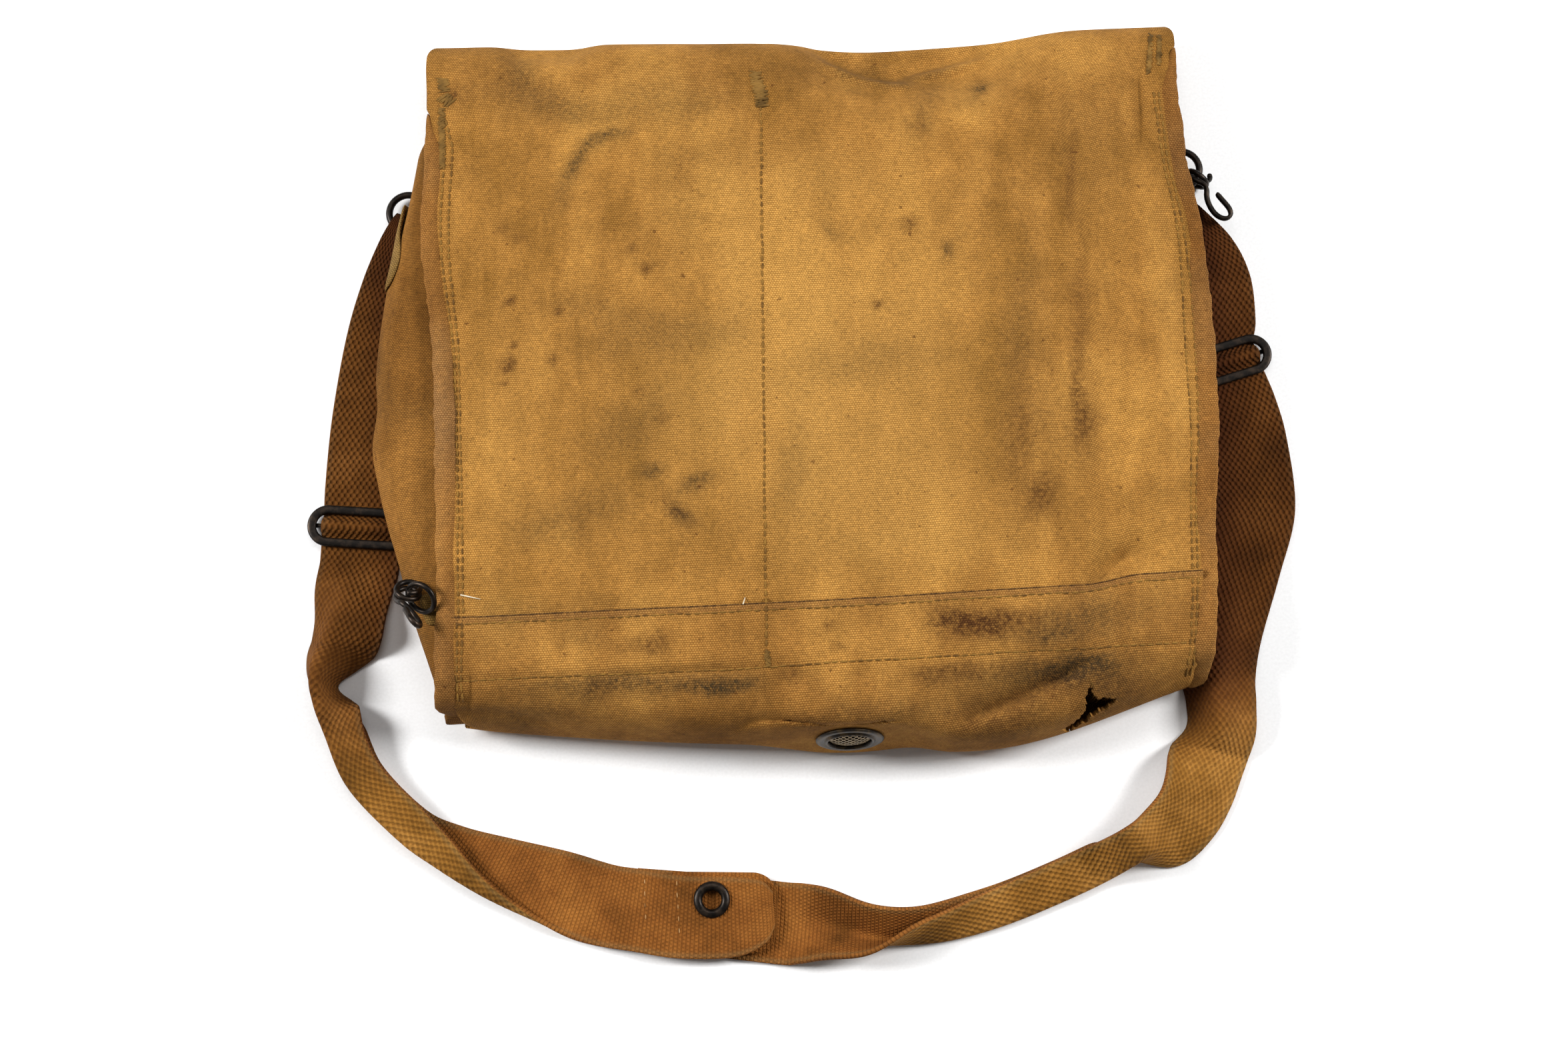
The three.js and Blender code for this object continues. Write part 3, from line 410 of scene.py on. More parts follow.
SECTION_AT = SmoothTable(SECTIONS, "across")
SEAM_AT = SmoothTable(SEAMS, "y")
GUSSET_AT = SmoothTable(GUSSETS, "y")


def smooth_path(turns: Array, at: Array) -> Array:
    """Points along a smooth curve through all its turning points.

    Args:
        turns: The turning points, one a row.
        at: Places from 0, the first point, to 1, the last.

    Returns:
        One point for each place.
    """
    spot = np.clip(at, 0, 1) * (len(turns) - 1)
    low = np.minimum(spot.astype(int), len(turns) - 2)
    share = (spot - low)[:, None]
    padded = np.vstack([2 * turns[0] - turns[1], turns, 2 * turns[-1] - turns[-2]])
    spans = np.sqrt(np.linalg.norm(np.diff(padded, axis=0), axis=1))[:, None]
    a, b, c, d = (padded[low + step] for step in range(4))
    one, two, three = (spans[low + step] for step in range(3))
    leave = ((b - a) / one - (c - a) / (one + two) + (c - b) / two) * two
    arrive = ((c - b) / two - (d - b) / (two + three) + (d - c) / three) * two
    square = -3 * b + 3 * c - 2 * leave - arrive
    cube = 2 * b - 2 * c + leave + arrive
    return b + leave * share + square * share**2 + cube * share**3


def lap_climb(share: float) -> float:
    """How far the edge of the lap climbs near the right seam."""
    return 3.2 * float(smoothstep(share, 0.68, 0.84))


def segment_steps(counts: Sequence[int]) -> Array:
    """Places along a path of equal segments, with a number of steps in each segment.

    Args:
        counts: Steps in each segment.

    Returns:
        Places from 0 to 1.
    """
    ends = np.arange(len(counts) + 1) / len(counts)
    runs = [np.linspace(ends[k], ends[k + 1], count + 1)[1:] for k, count in enumerate(counts)]
    return np.concatenate([[0.0], *runs])


class Lens:
    """The photograph's camera, in the drawing's millimetres."""

    ELEVATION = math.radians(78)
    ROLL = math.radians(2.4)
    DISTANCE = 1040.0
    FOCAL = 59.0
    SENSOR = 36.0
    READ_WIDTH, READ_HEIGHT = 2000, 2000 * 1568 / 2352  # the picture's size in the readings

    def __init__(self) -> None:
        """Works out the directions of sight."""
        right = np.array((1.0, 0, 0))
        up = np.array((0, math.sin(self.ELEVATION), math.cos(self.ELEVATION)))
        self.forward = np.array((0, math.cos(self.ELEVATION), -math.sin(self.ELEVATION)))
        self.right = math.cos(self.ROLL) * right - math.sin(self.ROLL) * up
        self.up = math.sin(self.ROLL) * right + math.cos(self.ROLL) * up
        self.eye = -self.DISTANCE * self.forward

    def plan(self, u: float, v: float, level: float) -> Array:
        """Finds the plan position of a place read off the picture.

        Args:
            u: Distance from the picture's left edge.
            v: Distance from its top edge.
            level: Height of the surface there.

        Returns:
            The position's x and y.
        """
        focal = self.FOCAL / self.SENSOR * self.READ_WIDTH
        aside, above = (u - self.READ_WIDTH / 2) / focal, (self.READ_HEIGHT / 2 - v) / focal
        ray = self.forward + aside * self.right + above * self.up
        return (self.eye + (level - self.eye[2]) / ray[2] * ray)[:2]

    def project(self, points: Array) -> tuple[Array, Array]:
        """Finds where points show in the picture.

        Args:
            points: Points of the drawing, in the last axis.

        Returns:
            Their distances from the picture's left and top edges.
        """
        away = points - self.eye
        share = self.FOCAL / self.SENSOR * self.READ_WIDTH / (away @ self.forward)
        u = self.READ_WIDTH / 2 + share * (away @ self.right)
        return u, self.READ_HEIGHT / 2 - share * (away @ self.up)

    def camera(self) -> None:
        """Makes the camera and hands it to the scene."""
        data = bpy.data.cameras.new("camera")
        data.lens, data.sensor_width = self.FOCAL, self.SENSOR
        data.clip_end = 20
        made = bpy.data.objects.new("camera", data)
        bpy.context.collection.objects.link(made)
        turn = Matrix((self.right, self.up, -self.forward)).transposed()
        made.matrix_world = Matrix.Translation(placed(self.eye)) @ turn.to_4x4()
        bpy.context.scene.camera = made


LENS = Lens()


def welt_share(side: int, y: Array) -> Array:
    """Share of its full width that a rolled seam has at a level: it starts slim under the top corner."""
    return WELT_SLIM + (1 - WELT_SLIM) * smoothstep(WELT_TOPS[side] - np.asarray(y, float), 0, WELT_TAPER)


def rim_at(side: int) -> float:
    """Where the bottom fold lies at a side."""
    return float(SECTION_AT(side).rim_y)


def edge_table(side: int) -> SmoothTable:
    """Turns the picture's readings of a rolled seam into its outer edge in plan.

    Args:
        side: -1 for left, 1 for right.

    Returns:
        The edge's x by y.
    """
    rows = []
    for reading in reversed(EDGE_READINGS):
        level = float(np.interp(reading.v, EDGE_HEIGHTS_AT, EDGE_HEIGHTS[side]))
        x, y = LENS.plan(reading.left if side < 0 else reading.right, reading.v, level)
        rows.append(EdgePoint(float(y), float(x)))
    return SmoothTable(rows, "y")


EDGE_TABLES = {side: edge_table(side) for side in (-1, 1)}


def edge_x(side: int, y: Any) -> Array:
    """Position of a side edge of the panels, which lies under the rolled seam."""
    covered = smoothstep(WELT_TOPS[side] + 2 - np.asarray(y, float), 0, 4)
    return EDGE_TABLES[side](y).x - side * WELT_REACH * covered * welt_share(side, y)


# Node trees
def linear(colour: str) -> tuple[float, float, float, float]:
    """Turns an sRGB hex colour to linear light."""
    parts = [int(colour[k:k + 2], 16) / 255 for k in (1, 3, 5)]
    return (*[c / 12.92 if c <= 0.04045 else ((c + 0.055) / 1.055) ** 2.4 for c in parts], 1.0)


# Settings of a Mix node that lays one colour over another or multiplies it in: share 0, below 6, above 7
OVER = {"data_type": "RGBA"}
TINT = {"data_type": "RGBA", "blend_type": "MULTIPLY"}


def per_mm(size: float) -> float:
    """Gives a pattern's scale for blots of a size in mm."""
    return 1 / (size * MM)


class Paint:
    """A node material in the making. Inputs go by name or number: a MapRange node takes its value, 0, from the
    range 1 to 2 to the range 3 to 4."""

    def __init__(self, name: str) -> None:
        """Starts a material of that name, with the cloth's flat cut and the object's own space at hand.

        Args:
            name: The material's name.
        """
        self.made = bpy.data.materials.new(name)
        self.made.use_nodes = True
        self.tree = self.made.node_tree
        coords = self.node("TexCoord").node.outputs
        self.cut, self.body = coords["UV"], coords["Object"]

    def fill(self, made: Any, inputs: dict) -> None:
        """Sets a node's properties, and sets or links its inputs.

        Args:
            made: The node.
            inputs: Properties by name, values, sRGB hex colours or source sockets of inputs by name or number,
                and a colour ramp's two or more rising stops of (place, sRGB hex).
        """
        for key, value in inputs.items():
            if isinstance(value, bpy.types.NodeSocket):
                self.tree.links.new(value, made.inputs[key])
            elif key == "stops":
                points = made.color_ramp.elements
                while len(points) < len(value):
                    points.new(0.5)
                for point, (place, colour) in zip(points, value):
                    point.position, point.color = place, linear(colour)
            elif isinstance(key, str) and hasattr(made, key):
                setattr(made, key, value)
            else:
                made.inputs[key].default_value = linear(value) if isinstance(value, str) else value

    def node(self, kind: str, inputs: dict | None = None, output: int | str = 0) -> Any:
        """Adds a shader node and fills it.

        Args:
            kind: Blender's name of the node, after ShaderNode.
            inputs: What it is filled with.
            output: Name or number of its result.

        Returns:
            The result's socket.
        """
        made = self.tree.nodes.new(f"ShaderNode{kind}")
        self.fill(made, inputs or {})
        return made.outputs[output]

    def finish(self, inputs: dict) -> bpy.types.Material:
        """Fills the shader and gives the material."""
        self.fill(self.tree.nodes["Principled BSDF"], inputs)
        return self.made

    def marks(self) -> tuple[Any, Any, Any, Any]:
        """Reads the mesh's soiling with painted shade, rust, paleness and wear.

        Returns:
            Their sockets.
        """
        marks = self.node("Attribute", {"attribute_name": "marks"}, "Color")
        each = self.node("SeparateColor", {"Color": marks}).node.outputs
        return (*each[:3], marks.node.outputs["Alpha"])

    def woven(self, where: Any, across: float, along: float, ribbed: float = 0.0) -> Any:
        """Adds a plain weave, a little unevenly beaten: floats stand up in every second place of each row.

        Args:
            where: Socket of the cloth's coordinates in metres.
            across: Spacing of the floats in a row in mm.
            along: Spacing of the rows in mm.
            ribbed: How much the rows read as unbroken ribs.

        Returns:
            A socket that is 1 on the floats and 0 in the hollows.
        """
        drift = self.node("TexNoise", {"Vector": where, "Scale": per_mm(7), "Detail": 2.0}, "Color")
        reach = (0.6 * MM, 0.6 * MM, 0.0)
        moved = self.node("VectorMath", {"operation": "MULTIPLY_ADD", 0: drift, 1: reach, 2: where})
        apart = self.node("SeparateXYZ", {0: moved}).node.outputs
        waves = []
        for axis, spacing in ((0, across / 2), (1, along)):
            turn = self.node("Math", {"operation": "MULTIPLY", 0: apart[axis], 1: math.pi / (spacing * MM)})
            waves.append(self.node("Math", {"operation": "SINE", 0: turn}))
        place, row = waves
        ridge = self.node("Math", {"operation": "MULTIPLY", 0: row, 1: row})
        rib = self.node("Math", {"operation": "MULTIPLY_ADD", 0: ridge, 1: 2 * ribbed, 2: -ribbed})
        raised = self.node("Math", {"operation": "MULTIPLY", 0: place, 1: row})
        both = self.node("Math", {"operation": "MULTIPLY_ADD", 0: raised, 1: 1 - ribbed, 2: rib})
        return self.node("MapRange", {0: both, 1: -0.7, 2: 0.7, 3: 0.0, 4: 1.0})


class Space(Enum):
    """What a weave lies along."""

    CUT = "cut"  # the cloth's own flat cut, in metres
    BODY = "body"


@dataclass(frozen=True)
class CanvasFinish:
    """Cotton duck: plain woven, with ribs across the cloth where the thick weft shows. The eye sees rows of
    small bright floats with dark gaps, in khaki that has faded unevenly; the gaps' dark is painted shade."""

    name: str
    light: str
    base: str
    dark: str
    space: Space = Space.CUT
    hem: float = 0.0  # width in mm of the worn fold along the first edge
    rib: float = 0.85  # spacing of the weft ribs in mm
    float_length: float = 1.0  # spacing of the floats in a row in mm
    relief: float = 0.4

    def material(self) -> bpy.types.Material:
        """Makes the canvas.

        Returns:
            The material.
        """
        paint = Paint(self.name)
        where = getattr(paint, self.space.value)
        weave = paint.woven(where, self.float_length, self.rib, 0.45)
        colour = self.stained(paint, where)
        slubs = []  # thick and thin places of the weft and the warp, longer than they are wide
        for length, width in ((2.6, 0.7), (0.7, 2.2)):
            scale = (per_mm(length), per_mm(width), per_mm(2))
            lie = paint.node("Mapping", {"Scale": scale, "Vector": where})
            settings = {"Vector": lie, "Scale": 1.0, "Detail": 2.0, "Roughness": 0.6}
            slubs.append(paint.node("TexNoise", settings))
        warp = paint.node("Math", {"operation": "MULTIPLY", 0: slubs[1], 1: 0.42})
        slub = paint.node("Math", {"operation": "MULTIPLY_ADD", 0: slubs[0], 1: 0.58, 2: warp})
        tone = paint.node("MapRange", {0: slub, 1: 0.36, 2: 0.64, 3: 0.76, 4: 1.26})
        colour = paint.node("Mix", TINT | {0: 1.0, 6: colour, 7: tone}, 2)
        # painted shade in the gaps between the floats
        gaps = paint.node("MapRange", {0: weave, 1: 0.0, 2: 1.0, 3: 0.84, 4: 0.0})
        colour = paint.node("Mix", TINT | {0: gaps, 6: colour, 7: self.dark}, 2)
        height = paint.node("Math", {"operation": "MULTIPLY_ADD", 0: slub, 1: 0.8, 2: weave})
        skin = paint.node("Bump", {"Strength": self.relief, "Distance": 0.4 * MM, "Height": height})
        return paint.finish({
            "Base Color": colour, "Normal": skin, "Roughness": 0.92, "Specular IOR Level": 0.1,
        })

    def stained(self, paint: Paint, where: Any) -> Any:
        """Colours the cloth under its weave: uneven fading, the marks, painted shade among them, specks and
        the worn fold with a painted shade line at its edge.

        Args:
            paint: The material in the making.
            where: Socket of the weave's coordinates.

        Returns:
            The colour socket.
        """
        fade, blots, grain, dots = (
            paint.node("TexNoise", {
                "Vector": paint.body, "Scale": per_mm(size), "Detail": detail, "Roughness": finer,
            }) for size, detail, finer in ((60, 3.0, 0.5), (11, 7.0, 0.72), (1.7, 5.0, 0.75), (2.6, 1.0, 0.5))
        )
        stretch = paint.node("Mapping", {"Scale": (1.0, 0.22, 1.0), "Vector": paint.body})
        runs = paint.node("TexNoise", {
            "Vector": stretch, "Scale": per_mm(14), "Detail": 6.0, "Roughness": 0.68,
        })
        part = paint.node("Math", {"operation": "MULTIPLY", 0: runs, 1: 0.4})
        tone = paint.node("Math", {"operation": "MULTIPLY_ADD", 0: fade, 1: 0.6, 2: part})
        stops = ((0.37, self.dark), (0.5, self.base), (0.63, self.light))
        colour = paint.node("ValToRGB", {"Fac": tone, "stops": stops})
        patchy = paint.node("MapRange", {0: blots, 1: 0.34, 2: 0.66, 3: 0.84, 4: 1.15})
        colour = paint.node("Mix", TINT | {0: 1.0, 6: colour, 7: patchy}, 2)
        grime_and_shade, rust, pale, worn = paint.marks()
        for mark, stain, dry in (
            (pale, "#cfa257", 0.0), (worn, "#977a58", 0.4), (grime_and_shade, "#4b3d26", 1.0), (rust, "#53351a", 1.0),
        ):
            rough = paint.node("MapRange", {0: grain, 1: 0.36, 2: 0.64, 3: 1 - 0.55 * dry, 4: 1 + 0.35 * dry})
            share = paint.node("Math", {"operation": "MULTIPLY", "use_clamp": True, 0: mark, 1: rough})
            colour = paint.node("Mix", OVER | {0: share, 6: colour, 7: stain}, 2)
        specks = paint.node("MapRange", {0: dots, 1: 0.73, 2: 0.8, 3: 0.0, 4: 0.6})
        colour = paint.node("Mix", OVER | {0: specks, 6: colour, 7: "#5a3517"}, 2)
        if self.hem:
            rough = paint.node("MapRange", {0: grain, 1: 0.36, 2: 0.64, 3: 0.45, 4: 1.35})
            deep = paint.node("SeparateXYZ", {0: where}, 1)
            # a worn band along the fold, then a thin painted shade line right at the fold's edge
            for reach, stain, most in ((self.hem, "#7d5a38", 0.42), (0.75, "#43301c", 0.85)):
                band = paint.node("MapRange", {0: deep, 1: reach * MM, 2: 0.7 * reach * MM, 3: 0.0, 4: most})
                share = paint.node("Math", {"operation": "MULTIPLY", "use_clamp": True, 0: band, 1: rough})
                colour = paint.node("Mix", OVER | {0: share, 6: colour, 7: stain}, 2)
        return colour


@dataclass(frozen=True)
class WebbingFinish:
    """Cotton webbing: woven thick and narrow, so that its floats stand up as rows of round bumps across the
    width. Its hollows carry painted shade, and its stretches beside the bag a painted shadow of the bag."""

    name: str
    light: str
    base: str
    dark: str
    row: float  # spacing of the rows along the length in mm
    bump: float  # spacing of the bumps across the width in mm
    furrow: float  # how deep the rows stand apart
    edge: str = "#7c6a45"  # thread at the woven edges

    def material(self) -> bpy.types.Material:
        """Makes the webbing.

        Returns:
            The material.
        """
        paint = Paint(self.name)
        weave = paint.woven(paint.cut, self.bump, self.row)
        wear, fuzz = (
            paint.node("TexNoise", {
                "Vector": paint.body, "Scale": per_mm(size), "Detail": detail, "Roughness": finer,
            }) for size, detail, finer in ((30, 5.0, 0.6), (1.2, 3.0, 0.5))
        )
        stops = ((0.32, self.dark), (0.5, self.base), (0.68, self.light))
        colour = paint.node("ValToRGB", {"Fac": wear, "stops": stops})
        # painted shade in the furrows between the rows and in the hollows between the bumps
        along = paint.node("SeparateXYZ", {0: paint.cut}, 1)
        turn = paint.node("Math", {"operation": "MULTIPLY", 0: along, 1: math.tau / (self.row * MM)})
        wave = paint.node("Math", {"operation": "COSINE", 0: turn})
        furrow = paint.node("MapRange", {0: wave, 1: 0.0, 2: 1.0, 3: 0.0, 4: self.furrow})
        between = paint.node("MapRange", {0: weave, 1: 0.0, 2: 1.0, 3: 1 - 0.5 * self.furrow, 4: 0.0})
        hollow = paint.node("Math", {"operation": "MAXIMUM", 0: furrow, 1: between})
        deep = paint.node("Math", {"operation": "POWER", 0: hollow, 1: 1.4})
        shade = paint.node("Math", {"operation": "MULTIPLY", 0: deep, 1: 0.46})
        tone = paint.node("MapRange", {0: fuzz, 1: 0.3, 2: 0.75, 3: 0.8, 4: 1.15})
        grime_and_shade, _, pale, _ = paint.marks()
        # painted shadow of the bag on the webbing beside it: a reddish tint, then dark brown
        for blend, share, above in (
            (TINT, shade, self.dark), (TINT, 1.0, tone), (OVER, pale, self.edge), (TINT, grime_and_shade, "#d3a0a2"),
            (OVER, grime_and_shade, "#260f04"),
        ):
            colour = paint.node("Mix", blend | {0: share, 6: colour, 7: above}, 2)
        soft = paint.node("Math", {"operation": "MULTIPLY", 0: fuzz, 1: 0.25})
        height = paint.node("Math", {"operation": "MULTIPLY_ADD", 0: hollow, 1: -1.0, 2: soft})
        skin = paint.node("Bump", {"Strength": 0.8, "Distance": 0.7 * MM, "Height": height})
        return paint.finish({
            "Base Color": colour, "Normal": skin, "Roughness": 0.9, "Specular IOR Level": 0.1,
        })


@dataclass(frozen=True)
class MetalFinish:
    """Brass wire and stampings, chemically blackened: a dull brown-black skin with a soft gloss, rubbed to
    dark bronze where it is handled."""

    name: str
    skin: str
    rubbed: str
    roughness: float

    def material(self) -> bpy.types.Material:
        """Makes the blackened brass.

        Returns:
            The material.
        """
        paint = Paint(self.name)
        wear, grit = (
            paint.node("TexNoise", {
                "Vector": paint.body, "Scale": per_mm(size), "Detail": detail, "Roughness": finer,
            }) for size, detail, finer in ((3.5, 6.0, 0.65), (0.7, 3.0, 0.5))
        )
        stops = ((0.45, self.skin), (0.72, self.rubbed))
        gloss, dull = self.roughness - 0.08, self.roughness + 0.14
        return paint.finish({
            "Base Color": paint.node("ValToRGB", {"Fac": wear, "stops": stops}),
            "Roughness": paint.node("MapRange", {0: wear, 1: 0.0, 2: 1.0, 3: gloss, 4: dull}),
            "Normal": paint.node("Bump", {"Strength": 0.2, "Distance": 0.12 * MM, "Height": grit}),
            "Metallic": 0.85,
        })


@dataclass(frozen=True)
class ThreadFinish:
    """Cotton sewing thread: matt and slightly paler or greener than the cloth, dirty in its hollows."""

    name: str
    light: str
    dark: str

    def material(self) -> bpy.types.Material:
        """Makes the thread.

        Returns:
            The material.
        """
        paint = Paint(self.name)
        dirt = paint.node("TexNoise", {"Vector": paint.body, "Scale": per_mm(6), "Detail": 3.0})
        stops = ((0.35, self.dark), (0.65, self.light))
        return paint.finish({
            "Base Color": paint.node("ValToRGB", {"Fac": dirt, "stops": stops}), "Roughness": 0.85,
            "Specular IOR Level": 0.2,
        })


# Finishes by the names that the pieces ask for
FINISHES = {
    "canvas": CanvasFinish("khaki_cotton_duck", "#c4944a", "#ae803e", "#91692e"),
    "lap": CanvasFinish("khaki_cotton_duck_with_worn_fold", "#c09048", "#a87a3b", "#8c632c", hem=3.4),
    # the side walls get darker colours than the panels: painted shade for their sloping faces
    "gusset": CanvasFinish("gusset_cotton_duck", "#ae7c3a", "#95672c", "#754e1d", rib=0.75, float_length=0.7),
    "welt": CanvasFinish("seam_cotton_duck", "#bf8d4a", "#a8783b", "#875c29"),
    "chape": CanvasFinish("chape_cotton_duck", "#a07f47", "#866731", "#5f4720", Space.BODY),
    "ribs": WebbingFinish("ribbed_cotton_webbing", "#a2682d", "#8a5422", "#653d15", 1.55, 1.3, 0.9),
    "bumps": WebbingFinish("pebbled_cotton_webbing", "#b37f3b", "#946528", "#6d4919", 1.75, 2.1, 0.0),
    "black": MetalFinish("blackened_brass", "#1f1b18", "#40342a", 0.36),
    "vent": MetalFinish("bronzed_brass", "#2b2723", "#5c4a30", 0.42),
    "mesh": MetalFinish("worn_brass_mesh", "#6c5b40", "#9d8660", 0.42),
    "thread": ThreadFinish("olive_sewing_thread", "#8c672c", "#5d401a"),
    "tack": ThreadFinish("dark_olive_thread", "#86632d", "#553d18"),
    "pale": ThreadFinish("undyed_cotton_thread", "#e6ddca", "#c9b998"),
    "tab": ThreadFinish("tan_sewing_thread", "#b98d5a", "#8a6236"),
}
materials = SimpleNamespace()


# Meshes
def linked(
    name: str, mesh: bpy.types.Mesh, material: bpy.types.Material, replaced: Sequence[str] = ()
) -> bpy.types.Object:
    """Puts a finished mesh into the scene as a piece of the bag.

    Args:
        name: The piece's name.
        mesh: Its mesh, in metres.
        material: What it looks like.
        replaced: The solids that the piece stands for.

    Returns:
        The new object.
    """
    made = bpy.data.objects.new(name, mesh)
    bpy.context.collection.objects.link(made)
    mesh.materials.append(material)
    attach(made, BODY)
    if replaced:
        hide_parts(*replaced)
    LOG.info("%s: %d faces", name, len(mesh.polygons))
    return made


def finished(shape: BMesh, name: str) -> bpy.types.Mesh:
    """Turns a bmesh into a smooth mesh.

    Args:
        shape: The bmesh, which is freed.
        name: The mesh's name.

    Returns:
        The new mesh.
    """
    mesh = bpy.data.meshes.new(name)
    shape.to_mesh(mesh)
    shape.free()
    mesh.shade_smooth()
    return mesh


@contextmanager
def edited(mesh: bpy.types.Mesh) -> Iterator[BMesh]:
    """Opens a mesh as a bmesh and writes it back afterwards.

    Args:
        mesh: The mesh.

    Yields:
        The bmesh to change.
    """
    shape = bmesh.new()
    shape.from_mesh(mesh)
    yield shape
    shape.to_mesh(mesh)
    shape.free()


def face_middles(shape: BMesh) -> Array:
    """Gives the middles of all faces in the drawing's millimetres."""
    spots = np.array([face.calc_center_median()[:] for face in shape.faces]) / MM
    return spots - np.array((*ORIGIN, 0))


def cut_away(shape: BMesh, gone: Array) -> None:
    """Deletes the faces that a truth value marks."""
    shape.faces.ensure_lookup_table()
    bmesh.ops.delete(shape, geom=[shape.faces[index] for index in np.flatnonzero(gone)], context="FACES")


def values_of(items: Any, name: str, width: int, kind: type = float) -> Array:
    """Reads a value of every item of a mesh's list, as rows of so many numbers.

    Args:
        items: The list, such as a mesh's vertices.
        name: The value's name.
        width: Numbers in each value.
        kind: Their type.

    Returns:
        One row for each item.
    """
    values = np.empty(len(items) * width, dtype=kind)
    items.foreach_get(name, values)
    return values.reshape(-1, width)


def spans(points: Array, axis: int) -> Array:
    """Distances between neighbours of a grid of points, across (0) or along (1)."""
    return np.linalg.norm(np.diff(points, axis=axis), axis=2)


def cloth_grid(
    surface: Surface, across: Array, along: Array, own: bool = False
) -> tuple[bpy.types.Mesh, Array]:
    """Lofts a sheet of cloth: a grid whose crossings are moved to a surface.

    Args:
        surface: Gives the points for places across and along.
        across: Places across the sheet.
        along: Places along it.
        own: Whether each column keeps its own length in the flat cut, or all have the mean.

    Returns:
        The mesh, with a map of its flat cut in metres, and the points, across by along.
    """
    columns, rows = len(across), len(along)
    points = surface(across, along)
    shape = bmesh.new()
    bmesh.ops.create_grid(shape, x_segments=columns - 1, y_segments=rows - 1, size=0.5)
    mesh = finished(shape, "cloth")
    flat = values_of(mesh.vertices, "co", 3) + 0.5
    column = np.rint(flat[:, 0] * (columns - 1)).astype(int)
    row = np.rint(flat[:, 1] * (rows - 1)).astype(int)
    mesh.vertices.foreach_set("co", placed(points[column, row]).ravel())
    widths, lengths = spans(points, 0).mean(axis=1), spans(points, 1)
    if not own:
        lengths[:] = lengths.mean(axis=0)
    cut_u = np.concatenate([[0], np.cumsum(widths)]) * MM
    cut_v = np.concatenate([np.zeros((columns, 1)), np.cumsum(lengths, axis=1)], axis=1) * MM
    corners = values_of(mesh.loops, "vertex_index", 1, int)[:, 0]
    column, row = column[corners], row[corners]
    laid = np.column_stack([cut_u[column], cut_v[column, row]])
    mesh.uv_layers.new(name="cut").data.foreach_set("uv", laid.ravel())
    mesh.update()
    return mesh, points


def corners_of(mesh: bpy.types.Mesh) -> Array:
    """Gives a mesh's corners in the drawing's millimetres.

    Args:
        mesh: The mesh, in metres.

    Returns:
        One point for each corner.
    """
    points = values_of(mesh.vertices, "co", 3) / MM
    points[:, :2] -= ORIGIN
    return points


def marked(mesh: bpy.types.Mesh, grime_and_shade: Any = 0, rust: Any = 0, pale: Any = 0, worn: Any = 0) -> None:
    """Writes each corner's soiling with painted shade, rust, paleness and wear.

    Args:
        mesh: The mesh.
        grime_and_shade: Soiling and painted shade, from 0 to 1, for all corners or for each.
        rust: How rusty.
        pale: How pale.
        worn: How worn.
    """
    layer = mesh.attributes.new("marks", "FLOAT_COLOR", "POINT")
    count = len(mesh.vertices)
    each = [np.broadcast_to(np.asarray(value, float), count) for value in (grime_and_shade, rust, pale, worn)]
    values = np.column_stack(each)
    layer.data.foreach_set("color", np.clip(values, 0, 1).astype(np.float32).ravel())


def thickened(piece: bpy.types.Object, thickness: float, inner: int = 0) -> None:
    """Gives a sheet its wall.

    Args:
        piece: The sheet.
        thickness: The wall, half on each side.
        inner: Material slots between the outer and the inner face.
    """
    wall = piece.modifiers.new("wall", "SOLIDIFY")
    wall.thickness = thickness * MM
    wall.offset = 0.0
    wall.material_offset = inner
    wall.use_quality_normals = True


def refined(node_name: str, swell: float) -> bpy.types.Mesh:
    """Copies a solid's mesh as one smooth skin.

    Args:
        node_name: The solid's name.
        swell: How far the skin stands out before it is rounded.

    Returns:
        The copy, ready for a subdivision surface.
    """
    shape = bmesh.new()
    shape.from_mesh(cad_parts[node_name].data)
    bmesh.ops.remove_doubles(shape, verts=shape.verts, dist=0.01 * MM)
    bmesh.ops.join_triangles(shape, faces=shape.faces, angle_face_threshold=0.7, angle_shape_threshold=0.9)
    shape.normal_update()
    for corner in shape.verts:
        corner.co += corner.normal * swell * MM
    mesh = finished(shape, node_name)
    mesh.materials.clear()
    return mesh


def rounded(piece: bpy.types.Object) -> None:
    """Rounds a piece with a subdivision surface."""
    surface = piece.modifiers.new("rounding", "SUBSURF")
    surface.levels = surface.render_levels = 2


def turned(profile: Sequence[tuple[float, float]], steps: int) -> BMesh:
    """Spins a closed profile round the Z axis.

    Args:
        profile: Points of radius and height.
        steps: Faces round the turn.

    Returns:
        The turned shape in metres.
    """
    shape = bmesh.new()
    points = [shape.verts.new((radius * MM, 0, height * MM)) for radius, height in profile]
    edges = [shape.edges.new((points[k - 1], points[k])) for k in range(len(points))]
    bmesh.ops.spin(shape, geom=points + edges, axis=(0, 0, 1), cent=(0, 0, 0), angle=math.tau, steps=steps,
                   use_merge=True)
    bmesh.ops.remove_doubles(shape, verts=shape.verts, dist=0.001 * MM)
    bmesh.ops.recalc_face_normals(shape, faces=shape.faces)
    return shape


# Stains
class MarkKind(Enum):
    """What a mark on the canvas is."""

    # soiling, and painted shade along folds and creases
    GRIME = 0
    RUST = 1
    PALE = 2


@dataclass(frozen=True)
class Mark:
    """A stain, a paler place or painted shade: where it is read off the picture, its half sizes in mm, turn
    and strength.
    """

    kind: MarkKind
    u: float
    v: float
    length: float
    width: float
    turn: float
    strength: float


